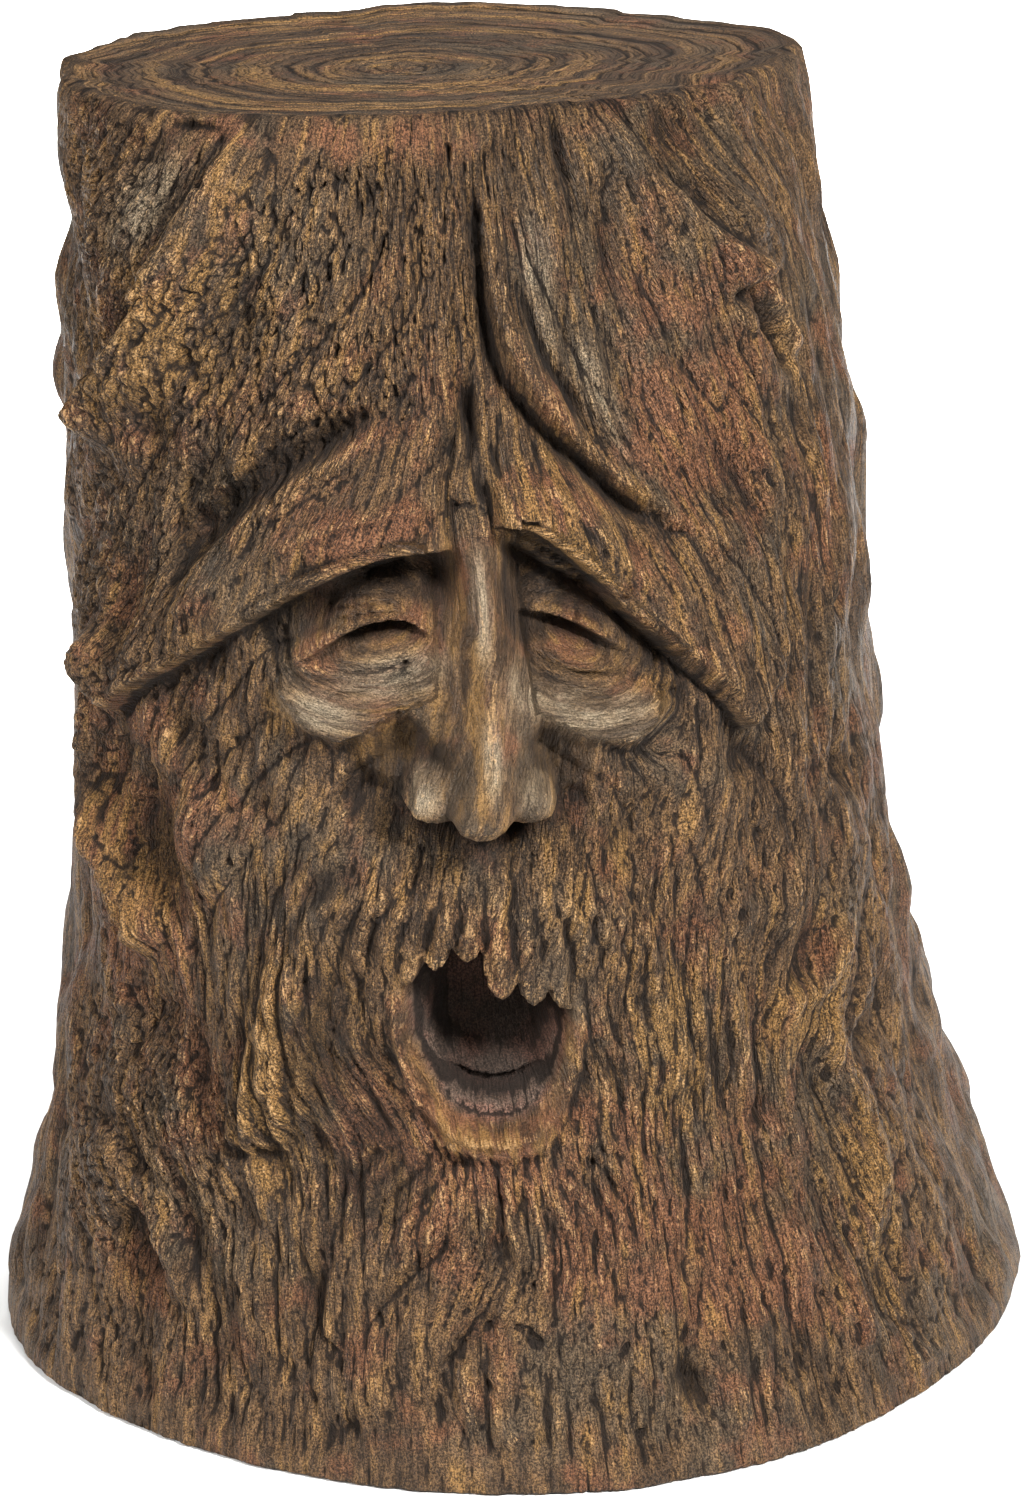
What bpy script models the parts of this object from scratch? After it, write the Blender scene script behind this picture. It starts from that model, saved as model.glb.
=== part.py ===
"""Green man stump: a cast garden stump carved as a bearded tree face with an open mouth.

Metres, +Z up. The face looks along -Y, and the origin is on the floor, under the middle
of the outline. One hollow casting in the real thing, and one closed solid here.

The carving is laid out on the unrolled wall of the stump, in shares of its height: there
are 500 shares in the height, so at the modelled height one share is a millimetre. A place
is (across, up): across is measured round the wall from the middle of the front, at the
GIRTH radius, and grows towards +X; up is measured from the floor.
"""
import math

import bpy
import numpy as np

# Driving sizes, in metres
HEIGHT = 0.5
MOUTH_DEPTH = 0.040
NOSE_REACH = 0.031
BROW_REACH = 0.014
LOCK_DEPTH = 0.0048
BARK_DEPTH = 0.0040
RIM_ROUND = 0.003
FOOT_ROUND = 0.002

NAME = "green_man_stump"
SHARES = 500.0
SHARE = HEIGHT / SHARES
GIRTH = 160.0
HALF_TURN = math.pi * GIRTH
LOCK_PITCH = 9.5
TRIANGLES = 9600
COLUMNS = 480
RINGS = 230
SEED = 11

# The stump before carving: (up, radius) of the turned wall, and how far its top leans to -X
WALL = ((0, 211), (40, 199), (80, 185), (150, 169), (250, 157), (350, 155), (410, 152), (500, 140))
LEAN = -31.0

# Outlines of the floor and of the top as (degrees from the front towards +X, radius)
FLOOR_PLAN = ((-170, 190), (-150, 214), (-130, 196), (-108, 207), (-76, 209), (-60, 212), (-45, 204),
              (-22, 204), (5, 204), (28, 200), (52, 195), (75, 200), (90, 206), (103, 219),
              (122, 198), (142, 212), (165, 196))
TOP_PLAN = ((-176, 128), (-154, 114), (-130, 120), (-108, 131), (-86, 140), (-58, 149), (-46, 158),
            (-34, 150), (-21, 139), (-3, 126), (12, 120), (33, 117), (52, 122), (75, 125),
            (92, 138), (117, 149), (137, 129), (166, 134))
PLAN_BLUR = 9.0
FLOOR_FADE = 240.0
TOP_FADE = 190.0

# Way of the strands as (across, up, run across, run up), read between these places
STRANDS = (
    (-60, 475, -5, -10), (-20, 470, -3, -10), (12, 460, 0, -10), (36, 462, 3, -10), (80, 460, 1, -10),
    (-60, 420, -10, -9), (-24, 420, -8, -9), (8, 415, 1, -10), (30, 405, 6, -10), (70, 420, 2, -10),
    (-95, 385, -10, -10), (-50, 380, -10, -6), (-20, 388, -9, -7), (50, 380, 10, -10), (90, 350, 9, -9),
    (-110, 450, -8, -10), (-130, 345, -8, -10), (110, 470, 10, -9), (125, 400, 4, -10), (150, 450, 9, -7),
    (-55, 335, -9, -7), (-20, 328, -10, 1), (-45, 300, -10, -4), (-12, 296, -8, -6), (-90, 300, -7, -10),
    (36, 330, 10, -4), (60, 305, 9, -3), (34, 300, 8, -6), (56, 290, 10, -3), (100, 300, 6, -10),
    (-72, 290, 4, -9), (-38, 272, -8, -10), (-28, 255, -9, -9), (34, 274, 6, -10), (48, 258, 4, -10),
    (3, 300, 0, -10), (-12, 232, -5, -9), (3, 225, 0, -10), (18, 230, 3, -10), (-50, 228, -10, -8),
    (-72, 200, -7, -10), (-86, 160, -3, -10), (-84, 130, 3, -10), (-46, 180, -6, -10), (-44, 145, 1, -10),
    (48, 220, 4, -10), (60, 185, 4, -10), (46, 165, 7, -10), (66, 140, 2, -10), (90, 230, 1, -10),
    (0, 112, 0, -10), (-26, 104, -9, -10), (-22, 78, -7, -10), (28, 110, 4, -10), (48, 80, 2, -10),
    (-150, 250, -6, -10), (-150, 195, 9, -10), (-150, 150, -1, -10), (-140, 90, 8, -8), (-120, 60, 2, -10),
    (140, 165, 6, 6), (150, 110, 3, -10), (150, 300, 0, -10), (-200, 400, 0, -10), (-200, 200, 0, -10),
    (0, 30, 0, -10), (-80, 60, 0, -10), (90, 60, 0, -10), (200, 400, 0, -10), (200, 150, 0, -10),
    (-330, 400, 2, -10), (-330, 150, -2, -10), (330, 400, -2, -10), (330, 150, 2, -10),
    (-500, 250, 0, -10),
)


def smooth(low, high, value):
    """0 below low, 1 above high, and an even curve between."""
    t = np.clip((value - low) / (high - low), 0.0, 1.0)
    return t * t * (3.0 - 2.0 * t)


def around(difference):
    """A distance round the stump, taken the short way."""
    return (difference + HALF_TURN) % (2.0 * HALF_TURN) - HALF_TURN


def blurred(value, table, blur, period=None):
    """Read a table of (place, size) with its corners rounded off."""
    places = [row[0] for row in table]
    sizes = [row[1] for row in table]
    offsets = np.linspace(-blur, blur, 7)
    total = 0.0
    for offset in offsets:
        total = total + np.interp(value + offset, places, sizes, period=period)
    return total / len(offsets)


def wall_radius(up):
    """Radius of the turned wall."""
    return blurred(np.clip(up, 0.0, SHARES), WALL, 12.0)


def stump_radius(across, up):
    """Radius of the uncarved stump, with the lobes of its floor and of its top."""
    degrees = np.degrees(across / GIRTH)
    floor_lobe = blurred(degrees, FLOOR_PLAN, PLAN_BLUR, 360.0) / WALL[0][1] - 1.0
    top_lobe = blurred(degrees, TOP_PLAN, PLAN_BLUR, 360.0) / WALL[-1][1] - 1.0
    near_floor = 1.0 - smooth(0.0, FLOOR_FADE, up)
    near_top = smooth(SHARES - TOP_FADE, SHARES, up)
    return wall_radius(up) * (1.0 + floor_lobe * near_floor + top_lobe * near_top)


def mound(across, up, place, spread, height, turn=0.0):
    """A soft round swelling, or a hollow where height is below zero; turn is in degrees."""
    side = around(across - place[0])
    rise = up - place[1]
    cosine = math.cos(math.radians(turn))
    sine = math.sin(math.radians(turn))
    along = (side * cosine + rise * sine) / spread[0]
    over = (rise * cosine - side * sine) / spread[1]
    return height * np.exp(-along * along - over * over)


def rounded(route, pieces=6):
    """A smooth curve through the points of a route."""
    points = np.array(route, dtype=float)
    padded = np.vstack([2 * points[0] - points[1], points, 2 * points[-1] - points[-2]])
    curve = []
    for index in range(1, len(padded) - 2):
        before, start, end, after = padded[index - 1:index + 3]
        for step in range(pieces):
            t = step / pieces
            curve.append(0.5 * (2 * start + (end - before) * t
                                + (2 * before - 5 * start + 4 * end - after) * t ** 2
                                + (3 * start - before - 3 * end + after) * t ** 3))
    curve.append(points[-1])
    return np.array(curve)


def line(across, up, route, widths, height, fade=0.15, powers=(2.0, 2.0)):
    """A ridge along a route, or a groove where height is below zero.

    widths are its spread on the left hand and on the right hand of someone who walks
    the route and sees the wall from outside; fade is the share of its length over
    which each end runs out; powers above 2 give that hand a flat face and a steep edge.
    """
    curve = rounded(route)
    reach = 2.6 * max(widths)
    near = np.abs(around(across - curve[:, 0].mean())) < np.ptp(curve[:, 0]) / 2 + reach + 8.0
    near &= (up > curve[:, 1].min() - reach) & (up < curve[:, 1].max() + reach)
    result = np.zeros_like(across)
    side = curve[:, 0].mean() + around(across[near] - curve[:, 0].mean())
    rise = up[near]
    best = np.full(side.shape, 1e9)
    signed = np.zeros_like(side)
    share = np.zeros_like(side)
    for index in range(len(curve) - 1):
        start = curve[index]
        run = curve[index + 1] - start
        length = math.hypot(run[0], run[1])
        t = np.clip(((side - start[0]) * run[0] + (rise - start[1]) * run[1]) / length ** 2, 0, 1)
        gap_side = side - start[0] - t * run[0]
        gap_rise = rise - start[1] - t * run[1]
        gap = np.hypot(gap_side, gap_rise)
        closer = gap < best
        best[closer] = gap[closer]
        left = run[0] * (rise - start[1]) - run[1] * (side - start[0]) > 0
        signed[closer] = np.where(left, gap, -gap)[closer]
        share[closer] = ((index + t) / (len(curve) - 1))[closer]
    spread = np.where(signed > 0, widths[0], widths[1])
    power = np.where(signed > 0, powers[0], powers[1])
    ends = smooth(-0.01, fade, share) * smooth(-0.01, fade, 1.0 - share)
    result[near] = height * ends * np.exp(-np.abs(signed / spread) ** power)
    return result


def strand_direction(across, up):
    """Unit way of the strands at each place, as (run across, run up)."""
    turn_x = np.zeros_like(across)
    turn_y = np.zeros_like(across)
    for place_across, place_up, run_across, run_up in STRANDS:
        angle = 2.0 * math.atan2(run_up, run_across)
        gap = around(across - place_across) ** 2 + (up - place_up) ** 2
        weight = 1.0 / (gap + 60.0) ** 2
        turn_x += weight * math.cos(angle)
        turn_y += weight * math.sin(angle)
    angle = 0.5 * np.arctan2(turn_y, turn_x)
    return np.cos(angle), np.sin(angle)


def read_grid(grid, column, row):
    """Read a grid between its cells; it closes on itself round the stump."""
    rows, columns = grid.shape
    row = np.clip(row, 0.0, rows - 1.001)
    low_row = row.astype(int)
    low_column = np.floor(column).astype(int)
    part_row = row - low_row
    part_column = column - low_column
    left = low_column % columns
    right = (low_column + 1) % columns
    below = grid[low_row, left] * (1 - part_column) + grid[low_row, right] * part_column
    above = grid[low_row + 1, left] * (1 - part_column) + grid[low_row + 1, right] * part_column
    return below * (1 - part_row) + above * part_row


def strand_grid(cell, length, seed):
    """Even noise of one cell size, dragged along the strands for a length, on a grid."""
    pitch = 2.5
    columns = int(round(2 * HALF_TURN / pitch))
    rows = int(round(SHARES / pitch)) + 1
    random = np.random.default_rng(seed)
    coarse_columns = int(round(2 * HALF_TURN / cell))
    coarse = random.standard_normal((int(SHARES / cell) + 3, coarse_columns))
    column, row = np.meshgrid(np.arange(columns, dtype=float), np.arange(rows, dtype=float))
    start = read_grid(coarse, column * coarse_columns / columns, row * pitch / cell)
    across = column * 2 * HALF_TURN / columns - HALF_TURN
    run_across, run_up = strand_direction(across, row * pitch)
    total = start.copy()
    steps = int(length / pitch)
    for way in (1.0, -1.0):
        at_column = column.copy()
        at_row = row.copy()
        old_across = way * run_across
        old_up = way * run_up
        for step in range(steps):
            at_column = at_column + old_across
            at_row = at_row + old_up
            new_across = read_grid(run_across, at_column, at_row)
            new_up = read_grid(run_up, at_column, at_row)
            flip = np.where(new_across * old_across + new_up * old_up < 0, -1.0, 1.0)
            old_across = new_across * flip
            old_up = new_up * flip
            fade = 0.5 + 0.5 * math.cos(math.pi * (step + 1) / (steps + 1))
            total += fade * read_grid(start, at_column, at_row)
    total -= total.mean()
    return total / total.std()


def strands(across, up, cell, length, seed):
    """Rounded strands with sharp creases between them, from -1.9 in a crease to 0.3 on a crest."""
    grid = strand_grid(cell, length, seed)
    column = (across + HALF_TURN) / (2 * HALF_TURN) * grid.shape[1]
    row = up / SHARES * (grid.shape[0] - 1)
    noise = read_grid(grid, column, row)
    return np.minimum(1.5 * np.sqrt(np.abs(noise)) - 1.9, 0.3)


def nose(across, up):
    """Long nose with a narrow bridge, a rounded tip, two wings and cut nostrils."""
    middle = 3.0 + 6.0 * smooth(255.0, 320.0, up)
    heights = ((247, 0.0), (254, 0.88), (262, 1.0), (272, 0.93), (285, 0.76), (300, 0.58),
               (320, 0.40), (340, 0.27), (356, 0.14), (370, 0.0))
    half_widths = ((246, 16), (262, 18), (275, 16), (290, 13), (310, 11), (335, 10), (365, 11))
    reach = NOSE_REACH / SHARE * blurred(up, heights, 2.0)
    gap = np.abs(around(across - middle)) / blurred(up, half_widths, 4.0)
    result = reach * (1.0 - smooth(0.12, 1.05, gap))
    result += mound(across, up, (3.0, 262.0), (11.0, 9.0), 4.0)
    result += line(across, up, ((10, 348), (9, 310), (6, 282), (4, 262)), (21, 21), 7.0, 0.3)
    under = smooth(248.0, 255.0, up)
    for side in (-1.0, 1.0):
        wing = mound(across, up, (3.0 + side * 20.5, 263.0), (11.5, 10.5), 20.0)
        result = (result ** 3 + (wing * under) ** 3) ** (1.0 / 3.0)
    for side in (-1.0, 1.0):
        result += line(across, up, ((3.0 + side * 8, 250), (3.0 + side * 18, 254),
                                    (3.0 + side * 27, 259)), (4.5, 4.5), -12.0, 0.3)
        result += line(across, up, ((3.0 + side * 29, 254), (3.0 + side * 33, 264),
                                    (3.0 + side * 28, 277)), (3.5, 3.5), -3.0, 0.3)
    return result


def brows(across, up):
    """Two hanging ledges of bark over the eyes."""
    reach = BROW_REACH / SHARE
    left = line(across, up, ((-2, 368), (-18, 371), (-40, 360), (-60, 349), (-80, 337), (-100, 323),
                             (-120, 308), (-146, 288), (-166, 272)), (12.0, 20.0), reach, 0.05, (3.5, 1.6))
    right = line(across, up, ((16, 374), (32, 378), (46, 365), (56, 350), (65, 336), (77, 322),
                              (90, 309), (104, 293), (116, 275)), (20.0, 10.0), reach, 0.06, (1.6, 3.5))
    result = left + right
    result += mound(across, up, (-14, 376), (11, 8), 4.0)
    result += mound(across, up, (34, 374), (12, 9), 5.0, -25.0)
    return result


def eyes(across, up):
    """Sunk sockets with heavy, nearly closed lids."""
    result = mound(across, up, (-34, 326), (33, 19), -13.0, 12.0)
    result += mound(across, up, (46, 322), (32, 17), -13.0, -22.0)
    result += mound(across, up, (-10, 339), (10, 11), -12.0)
    result += mound(across, up, (22, 340), (8, 9), -5.0)
    result += mound(across, up, (-57, 332), (7, 8), -6.0)
    result += mound(across, up, (-34, 327), (22, 10), 13.0, 10.0)
    result += mound(across, up, (43, 321), (19, 9.5), 13.0, -18.0)
    result += line(across, up, ((-66, 314), (-58, 327), (-49, 337), (-32, 343), (-12, 345)),
                   (3.0, 3.0), -3.0)
    result += line(across, up, ((-62, 307), (-51, 312), (-42, 317), (-30, 321), (-18, 321), (-8, 318)),
                   (2.2, 2.8), -5.0)
    result += line(across, up, ((-62, 300), (-48, 305), (-32, 311), (-14, 312)), (3.0, 2.5), -2.0)
    result += line(across, up, ((22, 324), (34, 323), (46, 319), (58, 312), (66, 306)), (2.4, 2.2), -5.0)
    result += line(across, up, ((24, 318), (33, 309), (44, 303), (58, 302), (68, 305)), (2.2, 2.2), -3.0)
    result += line(across, up, ((16, 352), (28, 344), (40, 339), (52, 334), (62, 326), (72, 317),
                                (83, 307), (94, 296), (106, 281)), (3.4, 3.0), -9.0, 0.08)
    return result


def cheeks(across, up):
    """Smooth cheekbones over the hollows that run from the nose to the beard."""
    result = mound(across, up, (-44, 291), (33, 13), 10.0, 12.0)
    result += mound(across, up, (49, 287), (29, 12), 10.0, -12.0)
    result += line(across, up, ((-86, 306), (-79, 291), (-68, 279), (-56, 272), (-44, 272)), (5, 4), 3.5)
    result += line(across, up, ((86, 306), (81, 291), (71, 278), (60, 270)), (4, 5), 3.5)
    result += line(across, up, ((-18, 290), (-33, 277), (-43, 264), (-50, 250)), (10, 8), -8.0)
    result += line(across, up, ((24, 286), (37, 275), (46, 262), (52, 247)), (8, 10), -8.0)
    return result


def lock_middle(number):
    """Where a lock of the moustache hangs; number counts from the parting."""
    return -1.5 + LOCK_PITCH * number


def lock_tip(number):
    """How low a lock of the moustache hangs: short over the mouth, long beside it."""
    return 190.0 + 13.0 * math.exp(-(number + 0.5) ** 2) - 4.5 * max(abs(number) - 3, 0)


def mouth_edge(across, up):
    """How far inside the mouth opening a place is; below zero outside it."""
    side = around(across + 1.0)
    half_width = 28.5 - 8.5 * smooth(180.0, 142.0, up)
    reach = np.abs(side / half_width) ** 2.6 + np.abs(np.minimum(up - 164.0, 0.0) / 22.0) ** 2.6
    lip_gap = 24.0 * (1.0 - reach ** (1.0 / 2.6))
    numbers = range(-5, 6)
    tips = np.interp(around(across), [lock_middle(n) for n in numbers], [lock_tip(n) for n in numbers])
    notch = 4.0 - 4.0 * np.cos(2.0 * math.pi * (around(across) - lock_middle(0)) / LOCK_PITCH)
    return np.minimum(lip_gap, 2.0 * (tips + notch - up))


def mouth(across, up, skin):
    """Wide open mouth with a lower lip, a row of teeth and a tongue, cut into the skin."""
    edge = mouth_edge(across, up)
    lip_route = ((-32, 188), (-31, 166), (-26, 148), (-19, 139), (-8, 135), (4, 135),
                 (14, 138), (22, 148), (27, 162), (30, 182))
    lip = line(across, up, lip_route, (5.0, 5.0), 8.0, 0.12, (2.0, 2.6))
    lip += mound(across, up, (-1, 134), (18, 6.5), 3.0)
    skin = skin + lip
    deep = MOUTH_DEPTH / SHARE
    floor_level = -deep + mound(across, up, (0, 157), (19, 11), deep * 0.62)
    cut = smooth(0.0, 10.0, edge)
    result = skin * (1.0 - cut) + floor_level * cut
    gum = line(across, up, ((-23, 160), (-19, 152), (-10, 147.5), (0, 146.5), (11, 148), (19, 154), (22, 161)),
               (2.6, 3.0), 1.0, 0.06, (3.5, 2.0))
    tooth = 0.8 + 0.2 * np.abs(np.sin(around(across + 1.0) * math.pi / 4.8))
    return np.maximum(result, np.where(gum > 0.2, -4.0 - deep * (1.0 - gum * tooth), -deep))


def moustache_and_beard(across, up):
    """Masses of hair round the mouth, parted under the nose, and their locks."""
    result = mound(across, up, (3, 226), (42, 22), 9.0)
    result += line(across, up, ((-8, 240), (-38, 226), (-66, 200), (-82, 168), (-86, 138), (-78, 116)),
                   (16, 14), 6.0)
    result += line(across, up, ((14, 240), (42, 222), (60, 194), (68, 164), (68, 134)), (14, 16), 5.0)
    for number in range(-5, 6):
        middle = lock_middle(number)
        root = 3.0 + 0.45 * middle
        result += line(across, up, ((root, 244 - abs(number)), (0.45 * root + 0.55 * middle, 222),
                                    (middle, lock_tip(number) - 3.0)), (3.7, 3.7), 8.5, 0.2)
    for number in range(6):
        out = 6.5 * number
        drop = 4.0 * number
        result += line(across, up, ((-36 - 0.6 * out, 238 - 0.4 * drop), (-50 - out, 214 - drop),
                                    (-60 - out, 184 - drop), (-63 - out, 154 - drop), (-60 - out, 126)),
                       (3.0, 3.0), 4.5, 0.25)
    for number in range(5):
        out = 7.0 * number
        drop = 5.0 * number
        result += line(across, up, ((38 + 0.6 * out, 236 - drop), (46 + out, 206 - drop),
                                    (51 + out, 172 - drop), (52 + out, 134 - drop)),
                       (3.2, 3.2), 4.0, 0.25)
    result += mound(across, up, (0, 104), (34, 26), 6.0)
    for degrees in range(-75, 76, 15):
        run_across = math.sin(math.radians(degrees))
        run_up = -math.cos(math.radians(degrees))
        start_across = 22.0 * run_across
        start_up = 136.0 + 12.0 * run_up
        result += line(across, up, ((start_across, start_up),
                                    (start_across + 20 * run_across, start_up + 20 * run_up),
                                    (start_across + 30 * run_across, start_up + 44 * run_up - 6)),
                       (2.8, 2.8), 3.5, 0.3)
    result += line(across, up, ((-104, 116), (-90, 113), (-74, 116)), (3, 3), -4.0, 0.3)
    return result


def bark_folds(across, up):
    """The large folds, cracks and knots of the bark round the face."""
    result = line(across, up, ((-70, 496), (-84, 473), (-96, 457), (-107, 441), (-119, 424), (-133, 406),
                               (-147, 390), (-160, 372)), (17, 6.0), 13.0, 0.1, (1.6, 3.0))
    result += line(across, up, ((-112, 437), (-124, 427), (-134, 414), (-142, 401)), (4.5, 4), -12.0, 0.25)
    result += line(across, up, ((-92, 417), (-106, 402), (-118, 389), (-130, 376)), (6, 6), -5.0, 0.25)
    result += line(across, up, ((84, 498), (96, 481), (108, 468), (122, 455), (136, 445), (150, 438),
                                (163, 434)), (6.0, 17), 10.0, 0.1, (3.0, 1.6))
    result += mound(across, up, (150, 426), (10, 5), -9.0)
    result += line(across, up, ((158, 425), (166, 411), (177, 393)), (5, 5), -9.0, 0.25)
    result += line(across, up, ((163, 434), (173, 416), (184, 396)), (5, 5), 5.0, 0.25)
    result += line(across, up, ((118, 483), (138, 470), (160, 456), (182, 445)), (8, 8), 4.0, 0.25)
    result += line(across, up, ((19, 484), (18, 450), (19, 428), (24, 408), (36, 392), (50, 378), (66, 363),
                                (86, 350)), (4, 4), -7.0, 0.12)
    result += line(across, up, ((34, 444), (40, 420), (48, 404), (60, 387)), (3.2, 3.2), -4.5, 0.25)
    result += line(across, up, ((8, 414), (9, 392), (10, 374), (14, 360)), (3.5, 3.5), -6.0, 0.25)
    result += line(across, up, ((26, 442), (32, 416), (44, 396), (57, 380), (75, 364), (97, 349),
                                (112, 338)), (5, 6), 5.0, 0.2)
    result += line(across, up, ((-36, 393), (-56, 381), (-76, 368), (-96, 354), (-110, 340), (-121, 322)),
                   (4.5, 4.5), -7.0, 0.2)
    result += line(across, up, ((-150, 306), (-168, 286), (-180, 262), (-188, 238), (-182, 219),
                                (-168, 203), (-152, 188), (-138, 176)), (12, 6), 9.0, 0.1)
    result += mound(across, up, (-148, 228), (17, 24), -6.0)
    result += line(across, up, ((-182, 208), (-164, 190), (-148, 176)), (6, 6), -6.0, 0.25)
    return result


def roots(across, up):
    """Ridges, pits and hollows of the lower stump, and broad folds on the plain back."""
    result = line(across, up, ((-172, 101), (-150, 91), (-132, 81), (-118, 66), (-108, 46)), (6, 9), 7.0)
    result += line(across, up, ((-150, 78), (-136, 68), (-124, 54)), (7, 7), -7.0, 0.25)
    result += mound(across, up, (-66, 66), (7, 15), -9.0)
    result += mound(across, up, (-116, 138), (6, 15), -6.0)
    result += line(across, up, ((110, 161), (124, 166), (136, 165), (147, 173), (158, 190)), (5, 6), 6.0)
    result += line(across, up, ((131, 162), (137, 143), (147, 126), (156, 110), (153, 92), (147, 72),
                                (146, 46)), (9, 7), 8.0)
    result += mound(across, up, (167, 138), (11, 8), -8.0)
    result += mound(across, up, (122, 92), (9, 22), -5.0)
    result += mound(across, up, (101, 126), (7, 6), -5.0)
    result += mound(across, up, (175, 242), (8, 8), -8.0)
    result += mound(across, up, (183, 303), (9, 6), -6.0)
    result += mound(across, up, (112, 258), (6, 6), -5.0)
    result += mound(across, up, (61, 31), (5, 9), -6.0)
    result += mound(across, up, (-245, 432), (75, 34), -8.0)
    result += line(across, up, ((318, 440), (326, 330), (314, 220), (318, 90), (312, 20)), (15, 15), 7.0)
    result += line(across, up, ((392, 470), (382, 340), (396, 220), (414, 100), (420, 20)), (16, 14), 9.0)
    result += line(across, up, ((-470, 420), (-455, 300), (-462, 180), (-450, 60)), (16, 18), 8.0)
    result += line(across, up, ((-380, 470), (-390, 360), (-382, 240), (-395, 120), (-418, 20)), (14, 16), 9.0)
    result += line(across, up, ((-316, 400), (-322, 280), (-316, 160), (-318, 20)), (14, 14), 6.0)
    for knot_across, knot_up, size in ((350, 300, 13), (-435, 250, 15), (-350, 370, 11), (450, 380, 12)):
        result += mound(across, up, (knot_across, knot_up), (2.0 * size, 2.0 * size), 7.0)
        result += mound(across, up, (knot_across, knot_up), (0.8 * size, 0.9 * size), -12.0)
    return result


def calm(across, up):
    """Share of the strands that shows: less on the smooth nose, lids, cheeks, lip and bands."""
    gap_from_nose = np.abs(around(across - 3.0)) / 26.0
    quiet = (1.0 - smooth(0.7, 1.1, gap_from_nose)) * smooth(246, 252, up) * smooth(372, 356, up)
    quiet = np.maximum(quiet, mound(across, up, (-35, 326), (38, 20), 0.95, 12.0))
    quiet = np.maximum(quiet, mound(across, up, (46, 318), (36, 20), 0.95, -20.0))
    quiet = np.maximum(quiet, mound(across, up, (-40, 288), (42, 20), 0.9, 12.0))
    quiet = np.maximum(quiet, mound(across, up, (46, 284), (36, 20), 0.9, -12.0))
    quiet = np.maximum(quiet, smooth(-15.0, -7.0, mouth_edge(across, up)) * smooth(204, 186, up))
    border = 20.0 + 16.0 * np.exp(-((across + 22.0) / 26.0) ** 2)
    quiet = np.maximum(quiet, 1.0 - smooth(border - 4.0, border + 4.0, up))
    quiet = np.maximum(quiet, 0.75 * smooth(SHARES - 14.0, SHARES - 4.0, up))
    return 1.0 - np.clip(quiet, 0.0, 1.0)


def relief(across, up):
    """Height of the carving over the uncarved stump, in shares."""
    skin = nose(across, up) + brows(across, up) + eyes(across, up) + cheeks(across, up)
    skin += moustache_and_beard(across, up) + bark_folds(across, up) + roots(across, up)
    in_front = np.exp(-(around(across) / 88.0) ** 2) * smooth(70, 110, up) * smooth(262, 240, up)
    combed = np.exp(-(around(across) / 62.0) ** 4) * smooth(120, 132, up)
    locks = strands(across, up, 6.0, 45.0, SEED) * LOCK_DEPTH / SHARE * (1.0 - 0.8 * combed)
    bark = strands(across, up, 12.0, 60.0, SEED + 1) * BARK_DEPTH / SHARE
    texture = in_front * locks + (1.0 - in_front) * bark
    skin += texture * calm(across, up)
    return mouth(across, up, skin)


def turned_blank(collection):
    """Turned drum with flat ends, as fine rings that the carving can move."""
    top_radius = float(wall_radius(SHARES)) * SHARE
    floor_radius = float(wall_radius(0.0)) * SHARE
    cap_shares = np.linspace(0.0, 1.0, 12)[:-1]
    profile = [(share * (top_radius - RIM_ROUND), HEIGHT) for share in cap_shares]
    profile.append((top_radius - RIM_ROUND, HEIGHT))
    for height in np.linspace(HEIGHT - RIM_ROUND, FOOT_ROUND, RINGS):
        profile.append((float(wall_radius(height / SHARE)) * SHARE, height))
    profile.append((floor_radius - FOOT_ROUND, 0.0))
    profile += [(share * (floor_radius - FOOT_ROUND), 0.0) for share in cap_shares[::-1]]
    mesh = bpy.data.meshes.new("turned_blank")
    points = [(radius, 0.0, height) for radius, height in profile]
    mesh.from_pydata(points, [(index, index + 1) for index in range(len(points) - 1)], [])
    blank = bpy.data.objects.new("turned_blank", mesh)
    collection.objects.link(blank)
    screw = blank.modifiers.new("Screw", "SCREW")
    screw.axis = "Z"
    screw.steps = COLUMNS
    screw.render_steps = COLUMNS
    screw.use_merge_vertices = True
    screw.merge_threshold = 0.00005
    return blank


def evaluated_mesh(thing):
    """Mesh of an object with its modifiers carried out."""
    graph = bpy.context.evaluated_depsgraph_get()
    graph.update()
    return bpy.data.meshes.new_from_object(thing.evaluated_get(graph))


def carve(mesh):
    """Move every point of the turned blank out or in to the carved surface."""
    places = np.empty(len(mesh.vertices) * 3)
    mesh.vertices.foreach_get("co", places)
    places = places.reshape(-1, 3) / SHARE
    up = np.clip(places[:, 2], 0.0, SHARES)
    across = np.arctan2(places[:, 0], -places[:, 1]) * GIRTH
    from_axis = np.hypot(places[:, 0], places[:, 1]) / wall_radius(up)
    radius = from_axis * (stump_radius(across, up) + relief(across, up))
    places[:, 0] = LEAN * up / SHARES + radius * np.sin(across / GIRTH)
    places[:, 1] = -radius * np.cos(across / GIRTH)
    mesh.vertices.foreach_set("co", (places * SHARE).ravel())
    mesh.update()


def flatten_ends(mesh):
    """Bring the points of both flat ends back to their planes, and centre the outline."""
    places = np.empty(len(mesh.vertices) * 3)
    mesh.vertices.foreach_get("co", places)
    places = places.reshape(-1, 3)
    flat = 0.0006
    places[:, 2] = np.where(places[:, 2] < flat, 0.0, places[:, 2])
    places[:, 2] = np.where(places[:, 2] > HEIGHT - flat, HEIGHT, places[:, 2])
    middle = (places.min(axis=0) + places.max(axis=0)) / 2.0
    places[:, :2] -= middle[:2]
    mesh.vertices.foreach_set("co", places.ravel())
    mesh.update()


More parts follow.
